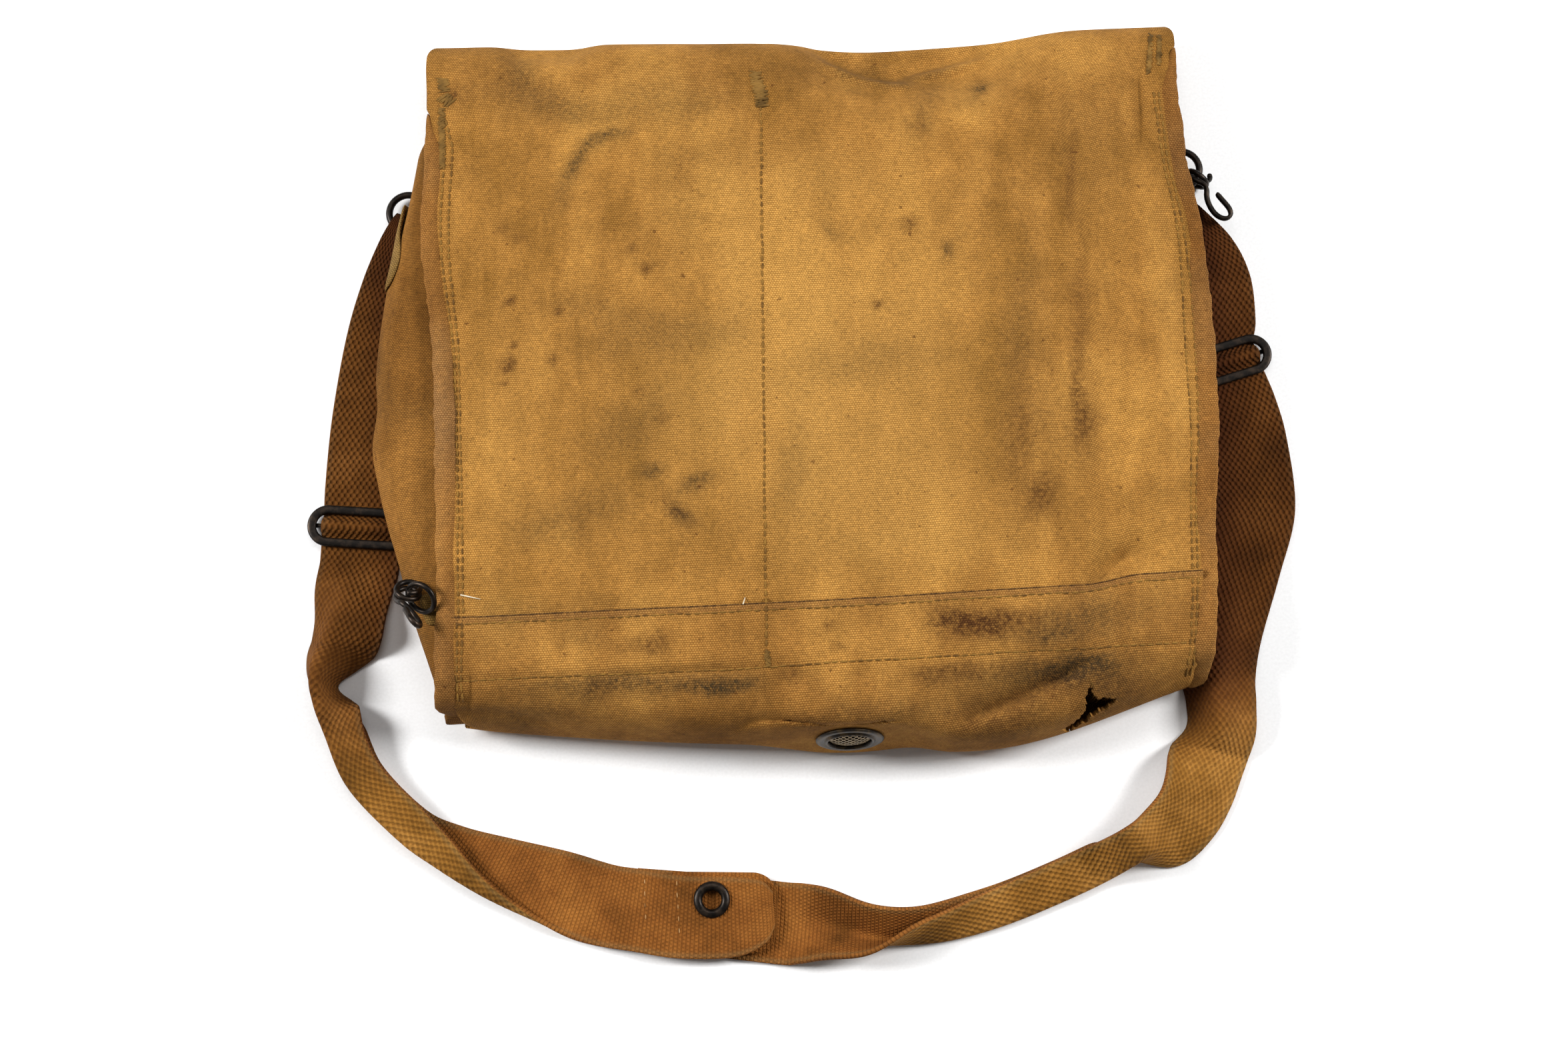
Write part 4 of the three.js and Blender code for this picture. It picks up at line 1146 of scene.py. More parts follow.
G, R, P = MarkKind.GRIME, MarkKind.RUST, MarkKind.PALE
MARKS = rows_of(Mark, (
    # broad stains of the lap and of the back beside it
    (R, 1290, 804, 30, 9, 3, 0.2), (G, 1268, 857, 32, 4.2, 5, 0.3), (G, 1386, 851, 12, 4.5, 12, 0.5),
    (G, 757, 868, 30, 4, 4, 0.35), (R, 1241, 932, 16, 4, 10, 0.25), (R, 1335, 641, 9, 5, -60, 0.35),
    (G, 1400, 745, 12, 3.5, 18, 0.25),
    # painted shade along the fold of the scoop and in the creases below it, over smudges of dirt there
    (G, 1105, 98, 14, 1.8, -16, 0.3), (G, 1188, 95, 14, 1.8, 16, 0.25), (G, 1250, 116, 3, 1.6, 0, 0.5),
    (R, 1174, 155, 6, 1.8, 90, 0.35), (G, 1210, 321, 5, 1.8, -65, 0.4), (G, 1057, 300, 4, 1.8, -60, 0.25),
    # dark arc at the upper left
    (G, 790, 169, 8, 2.8, 10, 0.45), (G, 763, 179, 7, 3.2, 28, 0.5), (G, 741, 199, 7, 3.4, 50, 0.5),
    (G, 727, 224, 8, 3.2, 64, 0.4), (G, 715, 255, 9, 4, 70, 0.22),
    # soiled places of the back
    (G, 820, 134, 40, 7, 4, 0.34), (G, 690, 130, 18, 8, -20, 0.35), (G, 660, 95, 10, 5, -40, 0.35),
    (G, 870, 240, 30, 14, 80, 0.22), (G, 1180, 140, 16, 6, 60, 0.32), (G, 1100, 100, 26, 6, -8, 0.3),
    (G, 1245, 120, 8, 4, 30, 0.35), (G, 1210, 320, 8, 3, 60, 0.28), (G, 1060, 295, 8, 3, -30, 0.25),
    (G, 1100, 460, 26, 8, 8, 0.3), (G, 840, 430, 34, 9, 6, 0.32), (G, 760, 395, 22, 7, -8, 0.26),
    (G, 800, 545, 20, 10, 40, 0.32), (G, 830, 600, 5, 4, 0, 0.65), (G, 885, 615, 7, 4, 20, 0.6),
    (G, 870, 655, 7, 4, -60, 0.65), (R, 862, 645, 9, 3, -58, 0.4), (G, 740, 650, 22, 9, 10, 0.3),
    (G, 700, 680, 16, 6, -5, 0.26), (G, 1010, 600, 24, 6, 85, 0.25), (G, 1300, 400, 34, 6, 82, 0.2),
    (G, 1320, 500, 40, 12, 88, 0.16),
    # brown runs at the right
    (R, 1375, 440, 40, 3.5, 88, 0.42), (R, 1385, 530, 18, 5, 90, 0.5), (R, 1365, 228, 17, 2.4, 88, 0.45),
    (R, 1297, 560, 34, 7, 90, 0.3), (R, 1330, 630, 14, 6, 60, 0.36), (R, 1340, 545, 14, 10, 0, 0.22),
    # rust spots
    (R, 1160, 290, 4.5, 4, 0, 0.6), (R, 1120, 388, 2.2, 2, 0, 0.7), (R, 825, 342, 2.8, 2.4, 0, 0.75),
    (R, 805, 320, 2.6, 2, 40, 0.45), (R, 651, 386, 2.4, 2, 0, 0.8), (R, 646, 464, 3.6, 3.0, 60, 0.85),
    (R, 655, 440, 2.0, 1.6, 0, 0.7), (R, 643, 489, 1.8, 1.5, 0, 0.7), (R, 712, 398, 2.2, 1.8, 0, 0.7),
    (R, 705, 462, 2.2, 2.6, 0, 0.6), (R, 662, 305, 4, 2.5, 10, 0.4), (R, 640, 295, 3, 2, 30, 0.35),
    (R, 815, 500, 3, 2.4, 0, 0.35), (R, 845, 535, 3, 2, 0, 0.35),
    # round the tacks of the left seam
    (R, 575, 125, 3, 3, 0, 0.6),
    # blotches on the lower band
    (R, 838, 818, 6, 5, -20, 0.6), (R, 800, 825, 9, 4, 10, 0.3), (R, 1225, 800, 14, 6, -12, 0.5),
    (R, 1290, 790, 14, 5, 10, 0.4), (R, 1060, 800, 2.5, 2.5, 0, 0.5), (R, 1070, 825, 3, 2, 0, 0.45),
    (G, 1360, 795, 20, 7, 8, 0.4), (G, 1330, 815, 16, 4, 4, 0.35), (G, 745, 810, 10, 5, 0, 0.3),
    # stains along the bottom
    (G, 840, 872, 40, 5, 4, 0.5), (G, 925, 876, 14, 3.5, 2, 0.72), (R, 1010, 860, 5, 3, 10, 0.5),
    (R, 1195, 862, 14, 4, 4, 0.52), (R, 1260, 850, 16, 4, 6, 0.35), (G, 1370, 850, 22, 7, 10, 0.55),
    (G, 1420, 880, 12, 8, 20, 0.45), (R, 1350, 870, 14, 6, 20, 0.35), (G, 660, 912, 26, 6, 4, 0.42),
    (R, 760, 880, 10, 5, 0, 0.32), (G, 1130, 905, 24, 6, 8, 0.3), (R, 1060, 915, 26, 4, 4, 0.3),
    (G, 1290, 925, 24, 5, 10, 0.3),
    # paler places, the broadest over the middle
    (P, 1020, 500, 14, 60, 0, 0.3), (P, 900, 500, 22, 30, 0, 0.24), (P, 1130, 480, 36, 40, 0, 0.26),
    (P, 1130, 640, 40, 26, 0, 0.26), (P, 640, 560, 18, 50, 0, 0.2), (P, 940, 390, 12, 60, 0, 0.26),
    (P, 1180, 700, 40, 12, 4, 0.25), (P, 640, 790, 14, 14, 0, 0.3), (P, 1500, 450, 8, 60, 4, 0.25),
    (P, 1040, 230, 40, 12, 0, 0.16), (P, 1010, 560, 90, 60, 0, 0.2), (P, 1080, 320, 60, 40, 0, 0.2),
    # brown lower right
    (R, 1280, 905, 24, 9, 14, 0.45), (G, 1290, 880, 34, 9, 12, 0.3), (R, 1240, 790, 20, 9, 0, 0.35),
    # broad, faint darkening towards the corners and the top edge
    (G, 1420, 780, 34, 10, 4, 0.28), (R, 1440, 870, 24, 8, 18, 0.32), (G, 640, 870, 30, 9, 0, 0.14),
    (G, 720, 780, 40, 6, 2, 0.2), (G, 1390, 190, 20, 34, 0, 0.12), (R, 1400, 130, 34, 22, 0, 0.12),
    (R, 620, 110, 26, 10, 0, 0.22), (R, 900, 90, 60, 8, 0, 0.2),
))


def ellipse_shares(dx: Array, dy: Array, form: Dent | Mark) -> tuple[Array, Array]:
    """Turns distances from the middle of a dent or mark to shares of its half length and half width."""
    cos, sin = math.cos(math.radians(form.turn)), math.sin(math.radians(form.turn))
    return (dx * cos + dy * sin) / form.length, (dy * cos - dx * sin) / form.width


def soil_and_shade(points: Array) -> list[Array]:
    """Adds up the marks over the canvas.

    Args:
        points: Corners of the cloth in the drawing's millimetres.

    Returns:
        Soiling with painted shade, rust and paleness of each corner.
    """
    sums = [np.zeros(len(points)) for _ in MarkKind]
    shown = smoothstep(points[:, 2], 6, 16)
    u, v = LENS.project(points)
    x, y = points[:, 0], points[:, 1]
    warp_x = 2.2 * cloud(x, y, 9, 11) + 1.0 * cloud(x, y, 4, 12)
    warp_y = 2.2 * cloud(x, y, 9, 13) + 1.0 * cloud(x, y, 4, 14)
    for mark in MARKS:
        small = min(1.0, min(mark.length, mark.width) / 5)
        dx, dy = (u - mark.u) / READ_SCALE + warp_x * small, (mark.v - v) / READ_SCALE + warp_y * small
        a, b = ellipse_shares(dx, dy, mark)
        sums[mark.kind.value] += mark.strength * np.exp(-((a * a + b * b) ** 1.3)) * shown
    return sums


@dataclass
class BagBody:
    """The back panel with its flap, and the lower panel that wraps round the bottom to the front."""

    columns: int = 180
    back_steps: tuple[int, ...] = (3, 5, 44, 40, 37, 27, 12, 9, 7, 8, 12, 10)  # rows between turning points
    front_steps: tuple[int, ...] = (11, 11, 9, 8, 8, 8, 7, 6, 5, 5, 8, 8)
    top_corner: float = 7.0  # height of the rounded corners at the top fold, and how far they come in
    top_round: float = 4.5
    low_corner: float = 9.0  # height of those at the bottom fold, and how far the left and right come in
    low_round: tuple[float, float] = (6.5, 1.2)
    groove_width: float = 2.2  # half width and depth of the groove along the middle stitches
    groove_depth: float = 0.7
    vent_x: float = 22.0
    vent_tilt: float = 10.0
    vent_level: float = 24.0
    vent_flat: float = 20.0  # the canvas is pressed flat this far from the vent's middle
    vent_fade: float = 42.0
    vent_cut: float = 9.5

    def __post_init__(self) -> None:
        """Works out where the vent sits."""
        tilt = math.radians(self.vent_tilt)
        self.vent_normal = np.array((0, -math.cos(tilt), math.sin(tilt)))
        self.vent_centre = np.array((self.vent_x, float(SECTION_AT(0.0).rim_y) + 1.2, self.vent_level))

    @staticmethod
    def sink(points: Array) -> None:
        """Sinks points of the upper face into the dents, in place.

        Args:
            points: Points of the panel, changed in place.
        """
        standing = np.clip((points[..., 2] - 6) / 14, 0, 1)
        for dent in DENTS:
            a, b = ellipse_shares(points[..., 0] - dent.x, points[..., 1] - dent.y, dent)
            share = standing * np.exp(-(a**4) - b**2)
            points[..., 2] -= dent.depth * share
            points[..., 1] -= dent.pull * share

    @staticmethod
    def crumple(points: Array) -> None:
        """Presses the fine creases into points of the upper face, in place.

        Args:
            points: Points of the panel, changed in place.
        """
        u, v = LENS.project(points)
        shown = smoothstep(points[..., 2], 8, 16)
        for crease in CREASES:
            run_u, run_v = crease.u1 - crease.u0, crease.v1 - crease.v0
            length = math.hypot(run_u, run_v)
            along = ((u - crease.u0) * run_u + (v - crease.v0) * run_v) / length**2
            aside = ((u - crease.u0) * run_v - (v - crease.v0) * run_u) / length
            aside = aside - crease.bow * (1 - (2 * along - 1) ** 2)
            ends = smoothstep(along, -0.08, 0.25) * smoothstep(1 - along, -0.08, 0.25)
            dip = np.exp(-((aside / READ_SCALE / crease.width) ** 2))
            points[..., 2] -= crease.depth * ends * shown * dip

    @staticmethod
    def sewn_in(points: Array, shares: Array) -> None:
        """Draws the cloth in along the second stitch row of the lap, in place.

        Args:
            points: Points of the panel, changed in place.
            shares: The columns' shares of the width, from -1 to 1.
        """
        row = (SECTION_AT(shares).lap_y - LAP + 0.5)[:, None]
        shown = smoothstep(points[..., 2], 14, 24)
        points[..., 2] -= 0.6 * shown * np.exp(-(((points[..., 1] - row) / 1.8) ** 2))

    def settle(self, points: Array) -> None:
        """Lets points of the upper face lie dented, creased and a little uneven, in place.

        Args:
            points: Points of the panel, changed in place.
        """
        self.sink(points)
        self.crumple(points)
        x, y = points[..., 0], points[..., 1]
        standing = np.clip((points[..., 2] - 10) / 14, 0, 1)
        points[..., 2] += standing * (0.9 * cloud(x, y, 34, 21) + 0.35 * cloud(x, y, 13, 22))

    @staticmethod
    def across_x(share: Array, y: Array, inset: Array) -> Array:
        """Position across the bag for shares from -1 at the left seam to 1 at the right seam."""
        left, right = edge_x(-1, y), edge_x(1, y)
        return left + inset + (right - left - 2 * inset) * (share + 1) / 2

    @staticmethod
    def back_turns(share: float) -> Array:
        """Turning points (y, z) of the back panel from under the lap, over the top and under the bag.

        Args:
            share: The column's share of the width, from -1 to 1.

        Returns:
            The points, one a row.
        """
        at = SECTION_AT(share)
        return np.array((
            (at.lap_y - LAP + TUCK, at.lap_z - 1),
            (at.lap_y - LAP / 2, at.lap_z - 0.4),
            (at.lap_y, at.lap_z),
            (25, at.belly_z),
            (85, at.middle_z),
            (140, at.upper_z),
            (at.top_y - 22, at.shoulder_z),
            (at.top_y - 6, at.fold_z * 0.38 + at.shoulder_z * 0.62),
            (at.top_y, at.fold_z),
            (at.top_y - 6, 3.4),
            (at.top_y - 22, CANVAS / 2),
            (60, CANVAS / 2),
            (FLAP_END, CANVAS / 2),
        ), float)

    @staticmethod
    def front_turns(share: float) -> Array:
        """Turning points (y, z) of the lower panel from its lap, round the bottom and up to the mouth.

        Args:
            share: The column's share of the width, from -1 to 1.

        Returns:
            The points, one a row.
        """
        at = SECTION_AT(share)
        floor = CANVAS / 2
        lift = lap_climb(share)
        return np.array((
            (at.lap_y + lift, at.lap_z + LAP_RISE),
            (at.lap_y - LAP / 2 + lift / 2, at.lap_z - 0.4 + LAP_RISE),
            (at.lap_y - LAP, at.lap_z - 1.5 + LAP_RISE),
            ((at.lap_y - LAP + at.rim_y) / 2, at.hip_z),
            (at.rim_y + 5, at.hip_z * 0.84),
            (at.rim_y + 1, at.hip_z * 0.55),
            (at.rim_y, at.hip_z * 0.28),
            (at.rim_y + 6, 3),
            (at.rim_y + 18, floor),
            (FLAP_END - 16, floor),
            (FLAP_END - 4, floor + STEP),
            (60, floor + STEP),
            (MOUTH, floor + STEP),
        ), float)

    def panel(self, turns: Callable[[float], Array], shares: Array, along: Array) -> Array:
        """Lays the paths of all columns side by side.

        Args:
            turns: Gives a column's turning points.
            shares: The columns' shares of the width.
            along: Places along the paths.

        Returns:
            Points, column by row, with x still to be set.
        """
        paths = np.stack([smooth_path(turns(share), along) for share in shares])
        paths[..., 1] = np.maximum(paths[..., 1], CANVAS / 2)
        return np.concatenate([np.zeros((*paths.shape[:2], 1)), paths], axis=2)

    def back(self, shares: Array, along: Array) -> Array:
        """The back panel and flap as a surface.

        Args:
            shares: The columns' shares of the width, from -1 to 1.
            along: Places along the path from 0 to 1.

        Returns:
            The points, across by along.
        """
        points = self.panel(self.back_turns, shares, along)
        inset = FLAP_INSET * smoothstep(along, 0.74, 0.84)[None, :]
        points[..., 0] = self.across_x(shares[:, None], points[..., 1], inset)
        below = SECTION_AT(shares).top_y[:, None] - points[..., 1]
        corner = np.clip((self.top_corner - below) / self.top_corner, 0, 1)
        rounding = self.top_round * np.sign(shares) * np.abs(shares) ** 14
        points[..., 0] -= rounding[:, None] * (1 - np.sqrt(1 - corner**2))
        self.settle(points)
        seam = np.exp(-(((points[..., 0] - self.middle_x(points[..., 1])) / self.groove_width) ** 2))
        points[..., 2] -= self.groove_depth * seam * smoothstep(points[..., 2], 14, 24)
        return points

    def front(self, shares: Array, along: Array) -> Array:
        """The lower panel and the front as a surface, pressed flat round the rigid vent.

        Args:
            shares: The columns' shares of the width, from -1 to 1.
            along: Places along the path from 0 to 1.

        Returns:
            The points, across by along.
        """
        points = self.panel(self.front_turns, shares, along)
        inset = FRONT_INSET * smoothstep(along, 0.5, 0.62)[None, :]
        points[..., 0] = self.across_x(shares[:, None], points[..., 1], inset)
        above = points[..., 1] - SECTION_AT(shares).rim_y[:, None]
        corner = np.clip((self.low_corner - above) / self.low_corner, 0, 1)
        corner = corner * smoothstep(points[..., 2], 3, 9)
        rounding = np.where(shares < 0, -self.low_round[0], self.low_round[1]) * np.abs(shares) ** 16
        points[..., 0] -= rounding[:, None] * (1 - np.sqrt(1 - corner**2))
        self.settle(points)
        self.sewn_in(points, shares)
        away = points - self.vent_centre
        hold = 1 - smoothstep(np.linalg.norm(away, axis=2), self.vent_flat, self.vent_fade)
        hold = np.where(points[..., 1] < FLAP_END, hold, 0)
        points -= ((away @ self.vent_normal) * hold)[..., None] * self.vent_normal
        return points

    @staticmethod
    def middle_x(y: Array) -> Array:
        """Position of the middle stitch line, which leans a little."""
        return -7.0 + 0.0285 * np.asarray(y)

    def build(self) -> None:
        """Makes both panels, the torn hole and the vent's hole."""
        shares = np.linspace(-1, 1, self.columns + 1)
        mesh, points = cloth_grid(self.back, shares, segment_steps(self.back_steps), own=True)
        marked(mesh, *soil_and_shade(corners_of(mesh)))
        back = linked("back_and_flap_cloth", mesh, materials.canvas, ("back_and_flap",))
        self.dress(back, points)
        mesh, points = cloth_grid(self.front, shares, segment_steps(self.front_steps), own=True)
        self.open_holes(mesh)
        marked(mesh, *soil_and_shade(corners_of(mesh)))
        front = linked("lower_panel_cloth", mesh, materials.lap, ("front_and_bottom",))
        self.dress(front, points)
        self.skin = Skin((back, front), CANVAS / 2)

    @staticmethod
    def dress(piece: bpy.types.Object, points: Array) -> None:
        """Gives a panel its wall.

        Args:
            piece: The panel.
            points: Its points, across by along; not used.
        """
        thickened(piece, CANVAS)

    def open_holes(self, mesh: bpy.types.Mesh) -> None:
        """Cuts the torn hole and the vent's hole into the lower panel, whose faces are finer round the tear.

        Args:
            mesh: The panel's mesh.
        """
        with edited(mesh) as shape:
            spots = face_middles(shape)
            u, v = np.abs(np.array(LENS.project(spots)) - np.array(TEAR_MIDDLE)[:, None])
            near = (u < TEAR_HALF[0]) & (v < TEAR_HALF[1]) & self.upper_low(spots)
            shape.faces.ensure_lookup_table()
            edges = {edge for index in np.flatnonzero(near) for edge in shape.faces[index].edges}
            bmesh.ops.subdivide_edges(shape, edges=list(edges), cuts=4, use_grid_fill=True)
            spots = face_middles(shape)
            gone = self.in_tear(spots) & self.upper_low(spots)
            gone |= np.linalg.norm(spots - self.vent_centre, axis=1) < self.vent_cut
            cut_away(shape, gone)
        mesh.shade_smooth()

    @staticmethod
    def upper_low(spots: Array) -> Array:
        """Tells which places lie on the upper side of the lower panel."""
        return (spots[:, 2] > 8) & (spots[:, 1] < FLAP_END)

    @staticmethod
    def in_tear(spots: Array) -> Array:
        """Tells which places lie in the torn outline, with its edge frayed.

        Args:
            spots: Places in the drawing's millimetres.

        Returns:
            One truth value for each place.
        """
        u, v = LENS.project(spots)
        u, v = (
            value + 1.5 * cloud(u, v, 2.6, seed) + 1.5 * cloud(u, v, 7, seed + 2)
            for value, seed in ((u, 5), (v, 6))
        )
        inside = np.zeros(len(u), dtype=bool)
        for one, two in zip(TEAR_OUTLINE, TEAR_OUTLINE[1:] + TEAR_OUTLINE[:1]):
            rising = (one.v > v) != (two.v > v)
            slope = (two.u - one.u) / ((two.v - one.v) or 1.0)
            inside ^= rising & (u < one.u + (v - one.v) * slope)
        return inside


class Skin:
    """The outer face of some cloth, to set things down on."""

    ABOVE = 200.0  # a height over everything

    def __init__(self, pieces: Sequence[bpy.types.Object], rise: float) -> None:
        """Keeps the faces.

        Args:
            pieces: Sheets of cloth.
            rise: Distance from the sheets' middle to their outer face.
        """
        self.rise = rise
        self.trees = []
        for piece in pieces:
            shape = bmesh.new()
            shape.from_mesh(piece.data)
            self.trees.append(BVHTree.FromBMesh(shape))
            shape.free()

    def drop(self, x: float, y: float) -> tuple[Vector, Vector] | None:
        """Finds the upper face below a place of the drawing.

        Args:
            x: The place's x.
            y: The place's y.

        Returns:
            The point in metres and the face's direction, or None where there is no cloth.
        """
        start = Vector(placed(np.array((x, y, self.ABOVE))))
        found = None
        for tree in self.trees:
            point, normal, _, _ = tree.ray_cast(start, Vector((0, 0, -1)))
            if point is not None and (found is None or point.z > found[0].z):
                normal = normal if normal.z > 0 else -normal
                found = (point + normal * self.rise * MM, normal)
        return found


@dataclass
class Stitching:
    """Rows of lockstitch and the denser bar tacks, as short threads that sink into the cloth at both ends."""

    pitch: float = 3.3  # stitch length in mm
    thread: float = 0.42  # half thickness in mm
    seed: int = 3

    def __post_init__(self) -> None:
        """Starts an empty shape."""
        self.shape = bmesh.new()
        self.current = bmesh.new()
        self.random = np.random.default_rng(self.seed)

    def gather(self) -> None:
        """Adds the row in hand to the rows that are done, so that each row is sewn in a small shape."""
        mesh = finished(self.current, "row")
        self.shape.from_mesh(mesh)
        bpy.data.meshes.remove(mesh)
        self.current = bmesh.new()

    def stitch(self, start: Vector, end: Vector, normal: Vector, thick: float = 1.0) -> None:
        """Lays one stitch between two points of the cloth's face.

        Args:
            start: First point in metres.
            end: Last point in metres.
            normal: Direction out of the cloth.
            thick: Share of the usual thread.
        """
        run = end - start
        side = normal.cross(run).normalized()
        up = run.normalized().cross(side) * -1
        radius = self.thread * thick * MM
        turn = Matrix((run * 0.56, side * radius, up * radius)).transposed().to_4x4()
        place = Matrix.Translation((start + end) / 2 + normal * radius * 0.25) @ turn
        bmesh.ops.create_uvsphere(self.current, u_segments=8, v_segments=6, radius=1.0,
                                  matrix=place @ Matrix.Rotation(math.pi / 2, 4, "Y"))

    def row(self, skin: Skin, route: Sequence[tuple[float, float]], share: float = 0.74) -> None:
        """Sews along a line of plan positions.

        Args:
            skin: The cloth's face.
            route: Corners of the line.
            share: How much of each stitch lies on this face.
        """
        turns = np.array(route, float)
        lengths = np.concatenate([[0], np.cumsum(np.linalg.norm(np.diff(turns, axis=0), axis=1))])
        count = int(lengths[-1] / self.pitch)
        for step in range(count):
            ends = np.array((step, step + share)) * self.pitch
            ends = ends + self.random.uniform(-0.15, 0.15, 2)
            spots = [np.array([np.interp(end, lengths, turns[:, k]) for k in (0, 1)]) for end in ends]
            aside = self.random.uniform(-0.16, 0.16, 2)
            found = [skin.drop(*(spot + aside)) for spot in spots]
            if all(found):
                self.stitch(found[0][0], found[1][0], found[0][1])
        self.gather()

    def tack(self, skin: Skin, start: tuple[float, float], end: tuple[float, float], width: float) -> None:
        """Sews a bar tack: close stitches across a short line.

        Args:
            skin: The cloth's face.
            start: First plan position.
            end: Last plan position.
            width: Length of each cross stitch.
        """
        one, two = np.array(start, float), np.array(end, float)
        run = (two - one) / np.linalg.norm(two - one)
        cross = np.array((-run[1], run[0])) * width / 2
        count = int(np.linalg.norm(two - one) / 0.5)
        for step in range(count):
            spot = one + (two - one) * step / count + self.random.uniform(-0.3, 0.3, 2)
            lean = run * self.random.uniform(-1.3, 1.3)
            found = [skin.drop(*(spot + side * (cross + lean))) for side in (-1, 1)]
            if all(found):
                self.stitch(found[0][0], found[1][0], found[0][1], self.random.uniform(0.9, 1.5))
        self.gather()

    def build(self, name: str, slot: str, material: bpy.types.Material) -> None:
        """Makes the sewn rows one piece."""
        linked(name, finished(self.shape, name), material)


@dataclass
class SideWalls:
    """Both gussets and the rolled seams that stand beside the back panel's edges."""

    body: BagBody
    fold_start: float = 5.6 / 12  # share of the lower panel's path that lies over the bottom fold
    fold_end: float = 6.2 / 12  # share from which it lies under the fold
    wall_rows: int = 130
    welt_rows: int = 200

    @staticmethod
    def edge(side: int, start: float, end: float, turns: Callable[[float], Array]) -> Callable[[Any], Array]:
        """Height of a panel's side edge, as a function of y.

        Args:
            side: -1 for left, 1 for right.
            start: Share of the panel's path where the edge is first followed.
            end: Share where it is last followed.
            turns: Gives the panel's turning points.

        Returns:
            The height by y.
        """
        track = smooth_path(turns(float(side)), np.linspace(start, end, 400))
        order = np.argsort(track[:, 0])
        return lambda y: np.interp(y, track[order, 0], np.maximum(track[order, 1], CANVAS / 2))

    def seam_height(self, side: int) -> Callable[[Array], Array]:
        """Height of the canvas under the welt at a side edge.

        Args:
            side: -1 for left, 1 for right.

        Returns:
            The height by y.
        """
        back = self.edge(side, 0, 0.5, self.body.back_turns)
        upper = self.edge(side, 0, self.fold_start, self.body.front_turns)
        lap_end = float(SECTION_AT(float(side)).lap_y) - LAP + TUCK

        def height(y: Array) -> Array:
            """Blends from the lower panel to the back panel."""
            share = smoothstep(np.asarray(y, float), lap_end, lap_end + 8)
            return (upper(y) - LAP_RISE) * (1 - share) + back(y) * share

        return height

    def gusset(self, side: int) -> Surface:
        """A side wall, from the back panel's edge (0) to the front panel's edge (1).

        Args:
            side: -1 for left, 1 for right.

        Returns:
            The wall's surface.
        """
        rim = rim_at(side)
        seam_height = self.seam_height(side)
        lower = self.edge(side, self.fold_end, 1, self.body.front_turns)

        def surface(across: Array, levels: Array) -> Array:
            """Lays the wall's sections one above the other.

            Args:
                across: Places across the wall from 0 to 1.
                levels: Values of y.

            Returns:
                The points, across by along.
            """
            sections = []
            for y in levels:
                bulge = GUSSET_AT(y)
                out = float(bulge.left if side < 0 else bulge.right)
                out += float(edge_x(side, y) - SEAM_AT(y).x) if side < 0 else 0
                near_top = float(smoothstep(y, 154, GUSSET_TOP))
                near_rim = 1 - float(smoothstep(y, rim + 4, rim + 24))
                top = float(seam_height(y)) - STEP - 0.3 - 2.6 * near_rim
                bottom = max(CANVAS / 2 + 2 * STEP, float(lower(y)) + STEP + 1.5 * near_rim)
                rise = top - bottom
                tucked = side > 0
                turns = np.array((
                    (4 if tucked else -3, top),
                    (-3 if tucked else 4, top - 0.7),
                    (out * 0.8 if tucked else 5 + (out - 5) * 0.7, top - rise * 0.14),
                    (out, bottom + rise * 0.52),
                    (out * 0.85 if tucked else -3 + (out + 3) * 0.72, bottom + rise * 0.2),
                    (-FRONT_INSET + (-2 if tucked else 3), bottom + 0.2),
                    (-FRONT_INSET - (8 if tucked else 4), bottom),
                ))
                section = smooth_path(turns, across)
                x = float(edge_x(side, y)) + side * (section[:, 0] - 8 * near_top)
                sections.append(np.column_stack([x, np.full(len(across), y), section[:, 1]]))
            points = np.stack(sections, axis=1)
            bulge = np.sin(np.pi * across)[:, None]
            points[..., 0] += side * bulge * 0.9 * cloud(points[..., 1], points[..., 2], 16, 31 + side)
            return points

        return surface

    def welt(self, side: int) -> Surface:
        """A rolled seam: across runs once round its section. It starts slim under the top corner.

        Args:
            side: -1 for left, 1 for right.

        Returns:
            The seam's surface.
        """
        height = self.seam_height(side)
        section = np.array([(point.out, point.up) for point in WELT_SECTIONS[side]])
        end, lap = rim_at(side) + WELT_ENDS[side], float(SECTION_AT(float(side)).lap_y)

        def surface(across: Array, levels: Array) -> Array:
            """Lays the sections one after the other.

            Args:
                across: Places round the section from 0 to 1.
                levels: Values of y.

            Returns:
                The points, across by along.
            """
            loop = smooth_path(section, across)
            slim = welt_share(side, levels)
            knob = 1 + WELT_KNOBS[side] * np.exp(-(((levels - end - WELT_ROUND) / 4) ** 2))
            for reach in (end + WELT_ROUND - levels, levels - WELT_TOPS[side] + WELT_ROUND):
                knob = knob * np.sqrt(np.clip(1 - np.clip(reach / WELT_ROUND, 0, 1) ** 2, 0.06, 1))
            step = LAP_RISE * smoothstep(lap - levels, -1.0, 1.0)
            level = levels * 0
            lumps = 1 + 0.06 * cloud(levels, level, 6, 41 + side) + 0.05 * cloud(levels, level, 2.4, 43)
            out = loop[:, :1] * slim * knob * lumps
            up = loop[:, 1:] * (0.4 + 0.6 * slim) * knob * lumps
            wave = 0.3 * cloud(levels, level, 14, 45 + side)
            points = np.broadcast_arrays(
                edge_x(side, levels) + side * (out + wave), levels[None, :], height(levels) + 0.2 + step + up)
            return np.stack(points, axis=2)

        return surface

    def build(self) -> None:
        """Makes the walls and seams of both sides."""
        for side, name in ((-1, "left"), (1, "right")):
            rim = rim_at(side)
            low = rim + GUSSET_ENDS[side]
            levels = np.linspace(*((GUSSET_TOP, low) if side < 0 else (low, GUSSET_TOP)), self.wall_rows)
            mesh, points = cloth_grid(self.gusset(side), segment_steps((4, 5, 14, 14, 12, 6)), levels)
            spots = corners_of(mesh)
            inner = smoothstep(np.abs(cloud(spots[:, 1], spots[:, 2], 22, 51)), 0.25, 0.9)
            marked(mesh, 0.3 * inner, 0.18 * (1 - inner))
            node = f"{name}_gusset"
            piece = linked(f"{node}_cloth", mesh, materials.gusset, (node,))
            thickened(piece, CANVAS)
            self.build_welt(side, name, rim)

